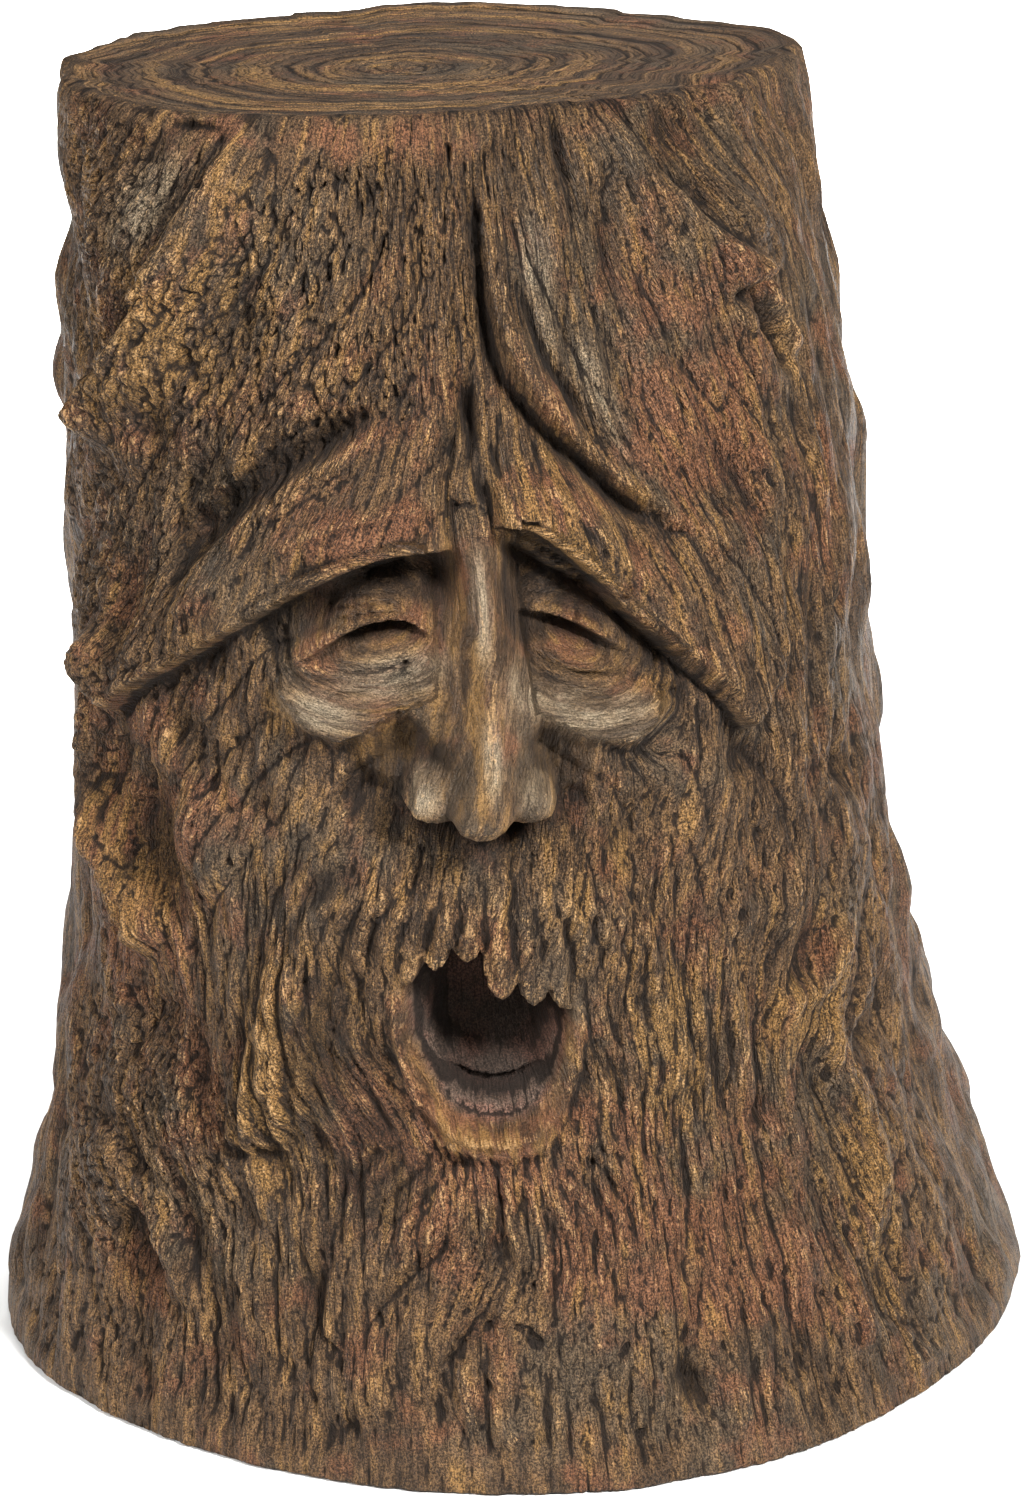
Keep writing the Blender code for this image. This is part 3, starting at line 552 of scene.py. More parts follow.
def moustache_and_beard(across, up):
    """Masses of hair round the mouth, parted under the nose, and their locks."""
    result = 10.0 * smooth(244.0, 204.0, up) * np.exp(-np.abs(around(across) / 44.0) ** 3)
    result *= smooth(150, 192, up)
    result = carved(across, up, (
        (line, ((-8, 238), (-38, 224), (-66, 198), (-82, 168), (-86, 138), (-78, 116)), (16, 14), 6),
        (line, ((14, 238), (42, 220), (60, 194), (68, 164), (68, 134)), (14, 16), 5),
    ), result)
    locks = np.zeros_like(across)
    for number in range(-6, 7):
        middle = lock_middle(number)
        root = 3.0 + 0.55 * middle
        start = 230.0 - 1.2 * abs(number) + 5.0 * math.sin(2.4 * number)
        reach = 6.4 + 1.4 * math.sin(1.7 * number + 1.0) - 0.3 * abs(number)
        route = ((root, start), (0.4 * root + 0.6 * middle, 213), (middle, lock_tip(number) - 3.0))
        locks = np.maximum(locks, line(across, up, route, (3.9, 3.9), reach, 0.42, (2.2, 2.2)))
    chance = np.random.default_rng(SEED + 21)
    for number in range(22):
        hand = -1.0 if number < 12 else 1.0
        out = 44.0 * chance.random()
        start = 236.0 - 0.9 * out - 40.0 * chance.random()
        run = 46.0 + 34.0 * chance.random()
        route = [(hand * (34 + out + 20.0 * smooth(240, 190, start - t * run)), start - t * run)
                 for t in (0.0, 0.33, 0.67, 1.0)]
        size = 2.2 + 1.4 * chance.random()
        locks = np.maximum(locks, line(across, up, route, (size, size), 2.0 + 2.6 * chance.random(), 0.4))
    result += locks
    result += mound(across, up, (0, 104), (34, 26), 6.0)
    for degrees in range(-78, 79, 12):
        run_across = math.sin(math.radians(degrees))
        run_up = -math.cos(math.radians(degrees))
        start_across = 22.0 * run_across
        start_up = 132.0 + 12.0 * run_up
        far = 40.0 + 8.0 * math.sin(0.13 * degrees)
        route = ((start_across, start_up), (start_across + 20 * run_across, start_up + 20 * run_up),
                 (start_across + 30 * run_across, start_up + far * run_up - 8))
        result += line(across, up, route, (2.2, 2.2), 2.6, 0.4)
    return result + line(across, up, ((-104, 116), (-90, 113), (-74, 116)), (3, 3), -4.0, 0.3)


def bark_folds(across, up):
    """The large folds, cracks and knots of the bark round the face."""
    return carved(across, up, (
        (line, ((-70, 496), (-84, 473), (-96, 457), (-107, 441), (-119, 424), (-133, 406), (-147, 390),
         (-160, 372)), (17, 6), 13, 0.1, (1.6, 3)),
        (line, ((-112, 437), (-124, 427), (-134, 414), (-142, 401)), (4.5, 4), -12, 0.25),
        (line, ((-92, 417), (-106, 402), (-118, 389), (-130, 376)), (6, 6), -5, 0.25),
        (line, ((84, 498), (96, 481), (108, 468), (122, 455), (136, 445), (150, 438), (163, 434)),
         (6, 17), 10, 0.1, (3, 1.6)),
        (mound, (150, 426), (10, 5), -9),
        (line, ((158, 425), (166, 411), (177, 393)), (5, 5), -9, 0.25),
        (line, ((163, 434), (173, 416), (184, 396)), (5, 5), 5, 0.25),
        (line, ((118, 483), (138, 470), (160, 456), (182, 445)), (8, 8), 4, 0.25),
        (line, ((19, 484), (18, 450), (19, 428), (24, 408), (36, 392), (50, 378), (66, 363), (86, 350)),
         (4, 4), -7, 0.12),
        (line, ((34, 444), (40, 420), (48, 404), (60, 387)), (3.2, 3.2), -4.5, 0.25),
        (line, ((8, 414), (9, 392), (10, 374), (14, 360)), (3.5, 3.5), -6, 0.25),
        (line, ((26, 442), (32, 416), (44, 396), (57, 380), (75, 364), (97, 349), (112, 338)), (5, 6), 5,
         0.2),
        (line, ((-20, 398), (-36, 392), (-56, 380), (-76, 367), (-96, 352), (-110, 337), (-121, 318)),
         (5, 6.5), -10, 0.25),
        (line, ((-150, 306), (-168, 286), (-180, 262), (-188, 238), (-182, 219), (-168, 203), (-152, 188),
         (-138, 176)), (12, 6), 9, 0.1),
        (mound, (-148, 228), (17, 24), -6),
        (line, ((-182, 208), (-164, 190), (-148, 176)), (6, 6), -6, 0.25),
    ))


def roots(across, up):
    """Ridges, pits and hollows of the lower stump, and broad folds on the plain back."""
    result = carved(across, up, (
        (line, ((-172, 101), (-150, 91), (-132, 81), (-118, 66), (-108, 46)), (6, 9), 7),
        (line, ((-150, 78), (-136, 68), (-124, 54)), (7, 7), -7, 0.25),
        (mound, (-66, 66), (7, 15), -9),
        (mound, (-116, 138), (6, 15), -6),
        (line, ((110, 161), (124, 166), (136, 165), (147, 173), (158, 190)), (5, 6), 6),
        (line, ((131, 162), (137, 143), (147, 126), (156, 110), (153, 92), (147, 72), (146, 46)), (9, 7),
         8),
        (mound, (167, 138), (11, 8), -8),
        (mound, (122, 92), (9, 22), -5),
        (mound, (101, 126), (7, 6), -5),
        (mound, (175, 242), (8, 8), -8),
        (mound, (183, 303), (9, 6), -6),
        (mound, (112, 258), (6, 6), -5),
        (mound, (61, 31), (5, 9), -6),
        (mound, (-245, 432), (75, 34), -8),
        (line, ((318, 440), (326, 330), (314, 220), (318, 90), (312, 20)), (15, 15), 7),
        (line, ((392, 470), (382, 340), (396, 220), (414, 100), (420, 20)), (16, 14), 9),
        (line, ((-470, 420), (-455, 300), (-462, 180), (-450, 60)), (16, 18), 8),
        (line, ((-380, 470), (-390, 360), (-382, 240), (-395, 120), (-418, 20)), (14, 16), 9),
        (line, ((-316, 400), (-322, 280), (-316, 160), (-318, 20)), (14, 14), 6),
    ))
    for knot_across, knot_up, size in ((350, 300, 13), (-435, 250, 15), (-350, 370, 11), (450, 380, 12)):
        result += mound(across, up, (knot_across, knot_up), (2.0 * size, 2.0 * size), 7.0)
        result += mound(across, up, (knot_across, knot_up), (0.8 * size, 0.9 * size), -12.0)
    return result


def brow_share(across, up):
    """Share of the planed brows, whose grain runs along them."""
    both = carved(across, up, (
        (line, ((-6, 362), (-22, 362), (-42, 356), (-62, 346), (-82, 334), (-102, 320), (-124, 306)),
         (10, 12), 1, 0.1, (3, 3)),
        (line, ((18, 368), (36, 366), (50, 354), (62, 342), (74, 328), (88, 312), (102, 296)),
         (10, 10), 1, 0.1, (3, 3)),
    ))
    return np.clip(both, 0.0, 1.0)


def calm(across, up):
    """Share of the coarse strands that shows: none on the smooth nose, lids, cheeks, lip and bands."""
    quiet = skin_share(across, up)
    quiet = np.maximum(quiet, band_share(across, up))
    quiet = np.maximum(quiet, 0.75 * brow_share(across, up))
    quiet = np.maximum(quiet, smooth(-12.0, -5.0, mouth_edge(across, up)) * smooth(204, 186, up))
    quiet = np.maximum(quiet, 0.75 * smooth(SHARES - 14.0, SHARES - 4.0, up))
    return 1.0 - np.clip(quiet, 0.0, 1.0)


def relief(across, up):
    """Height of the carving over the uncarved stump, in shares."""
    skin = nose(across, up) + brows(across, up) + eyes(across, up) + cheeks(across, up)
    skin += moustache_and_beard(across, up) + FOLD_SHARE * bark_folds(across, up) + roots(across, up)
    in_front = np.exp(-(around(across) / 88.0) ** 2) * smooth(70, 110, up) * smooth(262, 240, up)
    combed = np.exp(-(around(across) / 62.0) ** 4) * smooth(120, 132, up)
    locks = strands(across, up, 6.0, 45.0, SEED) * LOCK_DEPTH * (1.0 - 0.8 * combed)
    bark = strands(across, up, 12.0, 60.0, SEED + 1) * BARK_DEPTH
    texture = in_front * locks + (1.0 - in_front) * bark
    skin += texture * calm(across, up) + rim_nicks(across, up)
    return mouth(across, up, skin)


def softened(field, spread):
    """A grid blurred by a round spread in shares; it closes on itself round the stump."""
    doubled = np.vstack([field, field[::-1]])
    rise = np.fft.fftfreq(doubled.shape[0], PITCH)[:, None]
    run = np.fft.rfftfreq(doubled.shape[1], PITCH)[None, :]
    keep = np.exp(-2.0 * (math.pi * spread) ** 2 * (rise ** 2 + run ** 2))
    return np.fft.irfft2(np.fft.rfft2(doubled) * keep, s=doubled.shape)[:field.shape[0]]


def field_with_slopes(slope_across, slope_up, across, up, whole_across, whole_up):
    """A field whose slopes come as near as can be to the wanted ones, around a plain tilt."""
    rest_across = slope_across - whole_across
    rest_up = slope_up - whole_up
    rest_across = np.vstack([rest_across, rest_across[::-1]])
    rest_up = np.vstack([rest_up, -rest_up[::-1]])
    rise = 2.0 * math.pi * np.fft.fftfreq(rest_up.shape[0], PITCH)[:, None]
    run = 2.0 * math.pi * np.fft.fftfreq(rest_up.shape[1], PITCH)[None, :]
    size = rise ** 2 + run ** 2
    size[0, 0] = 1.0
    wave = -1j * (run * np.fft.fft2(rest_across) + rise * np.fft.fft2(rest_up)) / size
    wave[0, 0] = 0.0
    return np.fft.ifft2(wave).real[:across.shape[0]] + whole_across * across + whole_up * up


def eye_rings(across, up, over, along):
    """Strand places bent into rings round each eye, between its brow and the low edge of its cheek."""
    left = ((-33.0, 323.0), 12.0, (-79.0, -10.0),
            ((-80, 320), (-74, 304), (-67, 291), (-58, 281), (-48, 276), (-38, 281), (-26, 288), (-8, 297)),
            ((-80, 324), (-60, 337), (-40, 347), (-18, 354), (-8, 352)))
    right = ((44.0, 318.0), -18.0, (24.0, 84.0),
             ((10, 302), (21, 294), (34, 285), (48, 278), (61, 275), (70, 282), (77, 293), (84, 306)),
             RIGHT_BROW_EDGE)
    flatness = 1.3
    spacing = 1.1
    turn_length = 34.0
    for middle, turn, reach, low_edge, high_edge in (left, right):
        out, above = turned(around(across - middle[0]), up - middle[1], turn)
        above = flatness * above
        inside = (across > reach[0]) & (across < reach[1])
        inside &= (up > read_table(across, low_edge)) & (up < read_table(across, high_edge))
        over = np.where(inside, np.hypot(out, above) / spacing, over)
        along = np.where(inside, turn_length * np.arctan2(out, -above), along)
    return over, along


def strand_places(across, up):
    """(over, along): how far a place lies across the strands and along them, in shares."""
    run_across, run_up = strand_direction(across, up)
    down = np.where(run_up > 0.2, -1.0, 1.0)
    flat = np.abs(run_up) <= 0.2
    outward = np.where(run_across * np.sign(across - FACE_MIDDLE) < 0, -1.0, 1.0)
    sign = np.where(flat, outward, down)
    run_across = run_across * sign
    run_up = run_up * sign
    over = field_with_slopes(-run_up, run_across, across, up, 1.0, 0.0)
    along = field_with_slopes(run_across, run_up, across, up, 0.0, -1.0)
    return eye_rings(across, up, over, along)


def noise_sheet(over, along, gap, length, seed):
    """Even noise whose changes of sign lie a gap apart over the strands and a length along them."""
    over_pitch = 0.5
    along_pitch = 1.0
    rows = 640
    blurs_to_change = 4.44
    columns = int(round(2 * HALF_TURN / over_pitch))
    white = np.random.default_rng(seed).standard_normal((rows, columns))
    rise = np.fft.fftfreq(rows, along_pitch)[:, None] * length / blurs_to_change
    run = np.fft.rfftfreq(columns, over_pitch)[None, :] * gap / blurs_to_change
    keep = np.exp(-2.0 * math.pi ** 2 * (rise ** 2 + run ** 2))
    sheet = np.fft.irfft2(np.fft.rfft2(white) * keep, s=white.shape)
    sheet /= sheet.std()
    return read_grid(sheet, over / over_pitch, (along / along_pitch) % (rows - 1))


def creases(over, along, rows):
    """Rounded strands with sharp creases between them, added up; rows are (height, gap, length, seed)."""
    total = 0.0
    for height, gap, length, seed in rows:
        noise = noise_sheet(over, along, gap, length, SEED + seed)
        total = total + height * np.minimum(1.25 * np.sqrt(np.abs(noise)) - 1.0, 0.25)
    return total


def region(across, up, rows):
    """Share of a painted region, made of soft spots (across, up, half width, half height, any turn)."""
    total = np.zeros_like(across)
    for place_across, place_up, wide, tall, *turn in rows:
        total = np.maximum(total, mound(across, up, (place_across, place_up), (wide, tall), 1.0, *turn))
    return total


def hair_share(across, up):
    """Share of the moustache and the beard."""
    hair = region(across, up, (
        (0, 222, 62, 24), (-64, 190, 36, 50, 15), (58, 180, 36, 54, -10), (0, 104, 66, 42),
        (-62, 130, 34, 40), (56, 128, 34, 44),
    ))
    return smooth(0.25, 0.65, hair)


def grit_share(across, up):
    """Share of the crumbled bark on the left of the brow and down the left side."""
    grit = region(across, up, (
        (-30, 440, 62, 52), (-90, 395, 60, 60), (-130, 330, 40, 60), (-150, 440, 60, 70),
        (-190, 330, 50, 120), (-150, 110, 60, 60),
    ))
    return smooth(0.2, 0.6, grit)


def skin_share(across, up):
    """Share of the smooth skin of nose, lids, cheeks and lip."""
    gap_from_nose = np.abs(around(across - 5.0)) / 27.0
    skin = (1.0 - smooth(0.8, 1.05, gap_from_nose)) * smooth(246, 250, up) * smooth(360, 345, up)
    spots = region(across, up, (
        (-36, 320, 38, 19, 12), (46, 316, 38, 18, -20), (-46, 290, 39, 16, 4), (48, 289, 37, 15, -6),
        (-30, 274, 15, 20, -38), (36, 272, 14, 20, 38),
    ))
    skin = np.maximum(skin, smooth(0.35, 0.7, spots))
    border = -2.4 - 7.0 * smooth(150.0, 136.0, up)
    lip = smooth(border - 1.0, border + 0.8, mouth_edge(across, up)) * smooth(198, 184, up)
    return np.maximum(skin, lip)


def rim_nicks(across, up):
    """Broken places along the rim."""
    result = np.zeros_like(across)
    chance = np.random.default_rng(SEED + 20)
    for number in range(34):
        place = -HALF_TURN + 2 * HALF_TURN * (number + 0.8 * chance.random()) / 34
        size = 0.5 + chance.random()
        result += mound(across, up, (place, SHARES + 1.0), (6.0 * size, 5.0 * size), -2.6 * size)
    result += mound(across, up, (-118, SHARES - 1.0), (9, 4), -6.0)
    result += mound(across, up, (-96, SHARES - 5.0), (10, 2.5), -4.0)
    return result


def silver_sheen_share(across, up):
    """Share of the silver-grey, sheen-painted planes: cheeks, wings and ridge of the nose, parts of the
    forehead.
    """
    silver_sheen = region(across, up, (
        (-26, 302, 26, 9, 12), (-54, 287, 20, 9, -8), (38, 289, 28, 12, -18), (60, 284, 16, 10),
        (-17, 262, 8, 9), (22, 262, 7, 8), (8, 278, 4, 18), (44, 440, 7, 30), (64, 400, 8, 24, 20),
        (22, 300, 8, 14, 30), (-118, 465, 30, 14, 40), (8, 330, 4, 24),
    ))
    return smooth(0.15, 1.1, silver_sheen)


def band_share(across, up):
    """Share of the plain bands under the rim and at the foot."""
    border = 12.0 + 12.0 * np.exp(-((across + 22.0) / 28.0) ** 2)
    border += 4.0 * np.sin(across / 9.0 + np.sin(across / 23.0))
    foot = 1.0 - smooth(border - 5.0, border + 5.0, up)
    lower = 484.0 + 9.0 * smooth(-70.0, -86.0, across) + 3.0 * np.sin(across / 4.0)
    under_rim = smooth(lower, lower + 5.0, up) * smooth(-142, -130, across) * smooth(40, 22, across)
    return np.maximum(foot, under_rim)


def fine_texture(across, up, over, along):
    """Height of the small strands, chips and pits over the carved forms."""
    hair = hair_share(across, up)
    grit = grit_share(across, up) * (1.0 - hair)
    slab = 1.0 - hair - grit
    rough = (1.0 - skin_share(across, up)) * (1.0 - 0.75 * band_share(across, up))
    rough *= 1.0 - 0.5 * brow_share(across, up)
    locks = creases(over, along, ((1.7, 8.5, 70.0, 12), (1.6, 3.8, 46.0, 2), (1.2, 2.2, 26.0, 3)))
    chips = creases(over, along, ((2.0, 4.6, 13.0, 4), (1.4, 2.4, 6.5, 5)))
    strips = creases(over, along, ((1.6, 7.5, 50.0, 6), (1.2, 2.6, 20.0, 7)))
    pits = -2.6 * smooth(1.5, 2.3, noise_sheet(over, along, 6.0, 13.0, SEED + 8))
    lines = creases(over, along, ((1.1, 2.8, 60.0, 9),))
    lumps = 1.8 * noise_sheet(over, along, 26.0, 46.0, SEED + 10)
    texture = hair * locks + grit * (chips + pits) + slab * (strips + 0.8 * pits) + (1.0 - hair) * lumps
    return rough * texture + (1.0 - rough) * lines


def carving_grid():
    """Every field of the wall on one even grid: places, heights, paint and strand places."""
    across, up = np.meshgrid(np.arange(COLUMNS) * 2 * HALF_TURN / COLUMNS - HALF_TURN,
                             np.arange(ROWS) * PITCH)
    over, along = strand_places(across, up)
    height = relief(across, up) + fine_texture(across, up, over, along)
    behind = smooth(FRONT_EDGE, SIDE_EDGE, np.abs(across))
    fine = sum(weight * (height - softened(height, blur)) for weight, blur in FINE_PAINT)
    fine *= 1.0 - BACK_CALM * behind
    broad = height - softened(height, BROAD_BLUR)
    height = height + behind * (softened(height, BACK_BLUR) - height)
    return {"across": across, "up": up, "over": over, "along": along, "height": height,
            "fine": fine, "broad": broad}


def chosen_columns():
    """Columns of the grid that the mesh keeps: all in front, fewer round the back."""
    across = np.arange(COLUMNS) * 2 * HALF_TURN / COLUMNS - HALF_TURN
    number = np.arange(COLUMNS)
    front = np.abs(across) < FRONT_EDGE
    side = (np.abs(across) < SIDE_EDGE) & (number % 2 == 0)
    back = number % 4 == 0
    return number[front | side | back & (np.abs(across) >= SIDE_EDGE)]


def paint_of_wall(grid, columns):
    """(crest, hollow, red, ochre) and (skin, mouth, silver sheen, calm) for the points of the wall;
    crest and hollow set where shade is painted.
    """
    across = grid["across"][:, columns]
    up = grid["up"][:, columns]
    crest = np.clip(0.5 + grid["fine"][:, columns] / FINE_RANGE, 0.0, 1.0)
    # painted shade: darker spots in the eye sockets, on the moustache, along a crevice of the forehead and
    # down the left of the beard, taken off the hollow share
    shade = 0.45 * region(across, up, (
        (-66, 165, 30, 50), (-50, 215, 20, 20), (-40, 120, 24, 24), (-34, 339, 30, 9, 10),
        (46, 334, 26, 8, -25), (20, 330, 6, 14), (0, 212, 30, 10), (-58, 323, 13, 8, 30),
        (-80, 365, 36, 7, 38), (-110, 338, 10, 16),
    ))
    hollow = np.clip(0.5 + grid["broad"][:, columns] / BROAD_RANGE - shade, 0.0, 1.0)
    red = region(across, up, (
        (-28, 356, 34, 8, 14), (36, 368, 20, 10, -30), (-30, 492, 50, 8), (-30, 130, 26, 30),
        (60, 110, 50, 40), (70, 70, 60, 30), (-130, 60, 16, 16), (-116, 135, 10, 12), (-150, 200, 40, 60),
        (110, 380, 40, 50), (40, 312, 22, 12, -18),
    ))
    # amber drybrush on raised edges; the narrow spot down the nose ridge, at (5, 285), is a painted
    # highlight
    ochre = region(across, up, (
        (-148, 205, 26, 24, -45), (-78, 150, 16, 60), (-110, 420, 40, 26, 45), (150, 90, 14, 60),
        (135, 160, 30, 12, 20), (66, 160, 14, 40), (-30, 275, 20, 10, 30), (38, 355, 30, 14, -50),
        (5, 285, 4, 40), (0, 131, 20, 5), (-70, 282, 12, 5, -45), (76, 290, 8, 12),
    ))
    first = np.stack([crest, hollow, red, ochre], axis=-1)
    inside = smooth(0.0, 1.0, mouth_edge(across, up))
    skin = skin_share(across, up) * (1.0 - inside)
    slab = (1.0 - hair_share(across, up)) * (1.0 - grit_share(across, up))
    quiet = np.maximum(band_share(across, up), 0.4 * slab)
    second = np.stack([skin, inside, silver_sheen_share(across, up), quiet], axis=-1)
    return first, second


def wall_points(grid, columns):
    """Places of the wall's points, with a rounded rim and foot, in shares."""
    across = grid["across"][:, columns]
    up = grid["up"][:, columns].copy()
    radius = stump_radius(across, up) + grid["height"][:, columns]
    from_top = np.clip((up - (SHARES - RIM_ROUND)) / RIM_ROUND, 0.0, 1.0)
    from_foot = np.clip((FOOT_ROUND - up) / FOOT_ROUND, 0.0, 1.0)
    radius -= RIM_ROUND * (1.0 - np.sqrt(1.0 - from_top ** 2))
    radius -= FOOT_ROUND * (1.0 - np.sqrt(1.0 - from_foot ** 2))
    return across, up, radius


def in_space(across, up, radius):
    """Places in space, in shares, of points given on the leaning wall."""
    return np.stack([LEAN * up / SHARES + radius * np.sin(across / GIRTH),
                     -radius * np.cos(across / GIRTH), up], axis=-1)


def on_straight_log(over, along):
    """Where a point would lie on a straight-grained log, in metres: noise there follows the strands."""
    angle = over / GIRTH
    return np.stack([GIRTH * np.sin(angle), -GIRTH * np.cos(angle), -along], axis=-1) * SHARE


def ring_lines(ring, turn):
    """Shares of the thin raised lines and of the thin grooves of the ringed top."""
    warped = ring + 2.0 * np.sin(ring / 9.0) + 1.2 * np.sin(ring / 4.3 + 2.0 * np.sin(turn))
    raised = np.clip(1.0 - 1.9 * np.abs(np.sin(math.pi * warped / RING_PITCH)), 0.0, 1.0)
    shifted = warped + 0.37 * RING_PITCH + 1.5 * np.sin(2.0 * turn)
    groove = np.clip(1.0 - 1.9 * np.abs(np.sin(math.pi * shifted / RING_PITCH)), 0.0, 1.0)
    strength = 0.55 + 0.45 * np.sin(1.3 * ring / RING_PITCH + 3.0 * np.cos(turn))
    return raised * strength, groove * (1.3 - strength)


def ringed_top(rim):
    """Points of the top inside the rim, with their paint and their places on a straight log."""
    shares_out = 1.0 - np.linspace(0.0, 1.0, CAP_RINGS + 1)[1:-1]
    centre = np.array(RING_CENTRE)
    places = centre + (rim[None, :, :2] - centre) * shares_out[:, None, None]
    gap = shares_out[:, None] * np.ones(rim.shape[0])[None, :]
    turn = np.arctan2(places[..., 1] - centre[1], places[..., 0] - centre[0])
    wobble = 0.012 * np.sin(3.0 * turn + 1.0) + 0.008 * np.sin(7.0 * turn + 9.0 * gap)
    ring = (gap + wobble * gap) * RING_REACH
    raised, groove = ring_lines(ring, turn)

    dish = -2.2 * smooth(0.0, 0.12, 1.0 - gap) - 1.0 * smooth(0.2, 0.9, 1.0 - gap)
    hollow = -4.0 * np.exp(-(((places[..., 0] - 75) / 14) ** 2 + ((places[..., 1] + 51) / 7) ** 2))
    hollow -= 5.0 * np.exp(-(((places[..., 0] + 163) / 6) ** 2 + ((places[..., 1] + 33) / 10) ** 2))
    waves = (0.5 * raised - 0.9 * groove) * smooth(0.0, 0.06, 1.0 - gap)
    rise = (dish + waves + hollow) * smooth(0.0, 0.03, 1.0 - gap)
    points = np.concatenate([places, (SHARES + rise)[..., None]], axis=-1)

    plain = np.zeros_like(ring)
    # crest share light on the raised rings and low in the grooves, where shade is painted
    first = np.stack([0.45 + 0.5 * raised - 0.4 * groove, plain + 0.38, plain, 0.5 * raised], axis=-1)
    round_reach = 6.0
    straight = np.stack([ring, round_reach * np.cos(turn), 5.0 * round_reach * np.sin(turn)], axis=-1)
    return points, first, np.zeros_like(first), straight * (TOP_GRAIN * SHARE)


def faces_between(levels, count):
    """Corners of all faces, and how many each has: quads between the levels and a fan at either end."""
    number = np.arange(levels * count).reshape(levels, count)
    here = number[:-1]
    above = number[1:]
    quads = np.stack([here, np.roll(here, -1, axis=1), np.roll(above, -1, axis=1), above], axis=-1)
    last = number[-1]
    top_fan = np.stack([last, np.roll(last, -1), np.full(count, levels * count)], axis=-1)
    foot = number[0]
    foot_fan = np.stack([np.roll(foot, -1), foot, np.full(count, levels * count + 1)], axis=-1)
    corners = np.concatenate([quads.ravel(), top_fan.ravel(), foot_fan.ravel()])
    return corners, np.concatenate([np.full(here.size, 4), np.full(2 * count, 3)])


def closed_mesh(points, corners, sizes):
    """A mesh from its points, the corners of its faces and the number of corners of each."""
    mesh = bpy.data.meshes.new(NAME + "_carving")
    mesh.vertices.add(len(points))
    mesh.vertices.foreach_set("co", points.astype(np.float32).ravel())
    mesh.loops.add(len(corners))
    mesh.loops.foreach_set("vertex_index", corners.astype(np.int32))
    mesh.polygons.add(len(sizes))
    mesh.polygons.foreach_set("loop_start", (np.cumsum(sizes) - sizes).astype(np.int32))
    mesh.update(calc_edges=True)
    mesh.validate()
    return mesh


def stump_mesh():
    """The whole carved surface as one closed mesh with its painted attributes."""
    grid = carving_grid()
    columns = chosen_columns()
    across, up, radius = wall_points(grid, columns)
    rows, count = across.shape
    points = in_space(across, up, radius)
    straight = on_straight_log(grid["over"][:, columns], grid["along"][:, columns])
    wall = (points, *paint_of_wall(grid, columns), straight)
    top = ringed_top(points[-1])
    top_and_foot = ([[*RING_CENTRE, SHARES - 3.2], [0.0, 0.0, 0.0]],
                    [[0.5, 0.5, 0.0, 0.0], [0.4, 0.4, 0.0, 0.0]],
                    [[0.0, 0.0, 0.0, 0.0], [0.0, 0.0, 0.0, 1.0]],
                    [[0.0, 0.0, 0.0], [0.0, 0.0, 0.0]])
    points, first, second, straight = [
        np.vstack([wall_part.reshape(-1, len(ends[0])), top_part.reshape(-1, len(ends[0])), ends])
        for wall_part, top_part, ends in zip(wall, top, top_and_foot)]
    mesh = closed_mesh(points * SHARE, *faces_between(rows + CAP_RINGS - 1, count))
    for name, values in (("carving", first), ("area", second)):
        attribute = mesh.attributes.new(name, "FLOAT_COLOR", "POINT")
        attribute.data.foreach_set("color", values.astype(np.float32).ravel())
    attribute = mesh.attributes.new("straight", "FLOAT_VECTOR", "POINT")
    attribute.data.foreach_set("vector", straight.astype(np.float32).ravel())
    return mesh


def new_object(name, data):
    """A new object in the scene."""
    made = bpy.data.objects.new(name, data)
    bpy.context.scene.collection.objects.link(made)
    return made


def reduced(mesh):
    """The mesh with the triangles that its piece may have, kept where the carving is sharp."""
    carving = new_object("carved", mesh)
    mesh.calc_loop_triangles()
    reduce = carving.modifiers.new("Decimate", "DECIMATE")
    reduce.ratio = TRIANGLES / len(mesh.loop_triangles)
    reduce.use_collapse_triangulate = True
    graph = bpy.context.evaluated_depsgraph_get()
    graph.update()
    result = bpy.data.meshes.new_from_object(carving.evaluated_get(graph))
    bpy.data.objects.remove(carving, do_unlink=True)
    return result


def add(tree, kind, links=(), **settings):
    """A new node; links are (input, value or output) pairs, settings are the node's own values."""
    item = tree.nodes.new(kind)
    for key, value in settings.items():
        setattr(item, key, value)
    for key, value in links:
        if isinstance(value, bpy.types.NodeSocket):
            tree.links.new(value, item.inputs[key])
        else:
            item.inputs[key].default_value = value
    return item


def sum_of(tree, operation, first, second=0.0, third=0.0):
    """One Math node's result."""
    links = ((0, first), (1, second), (2, third))
    return add(tree, "ShaderNodeMath", links, operation=operation).outputs[0]


def times(tree, first, second):
    """Two values multiplied."""
    return sum_of(tree, "MULTIPLY", first, second)


def larger(tree, first, second):
    """The larger of two values."""
    return sum_of(tree, "MAXIMUM", first, second)


def one_less(tree, value, weight=1.0):
    """1 less a value times its weight."""
    return sum_of(tree, "MULTIPLY_ADD", value, -weight, 1.0)


def weighed(tree, *rows):
    """Values added up, each times its weight; rows are (value, weight)."""
    total = 0.0
    for value, weight in rows:
        total = sum_of(tree, "MULTIPLY_ADD", value, weight, total)
    return total


def ramp(tree, value, low, high, start=0.0, end=1.0):
    """A value brought from (low, high) to (start, end), held at both ends."""
    links = (("Value", value), ("From Min", low), ("From Max", high), ("To Min", start), ("To Max", end))
    return add(tree, "ShaderNodeMapRange", links, interpolation_type="SMOOTHSTEP").outputs[0]


def blend(tree, share, first, second, way="MIX"):
    """Two colours blended by a share."""
    links = ((0, share), (6, first), (7, second))
    return add(tree, "ShaderNodeMix", links, data_type="RGBA", blend_type=way).outputs[2]


def even_noise(tree, place, scale, detail, roughness):
    """Noise from 0 to 1."""
    links = (("Vector", place), ("Scale", scale), ("Detail", detail), ("Roughness", roughness))
    return add(tree, "ShaderNodeTexNoise", links).outputs["Fac"]


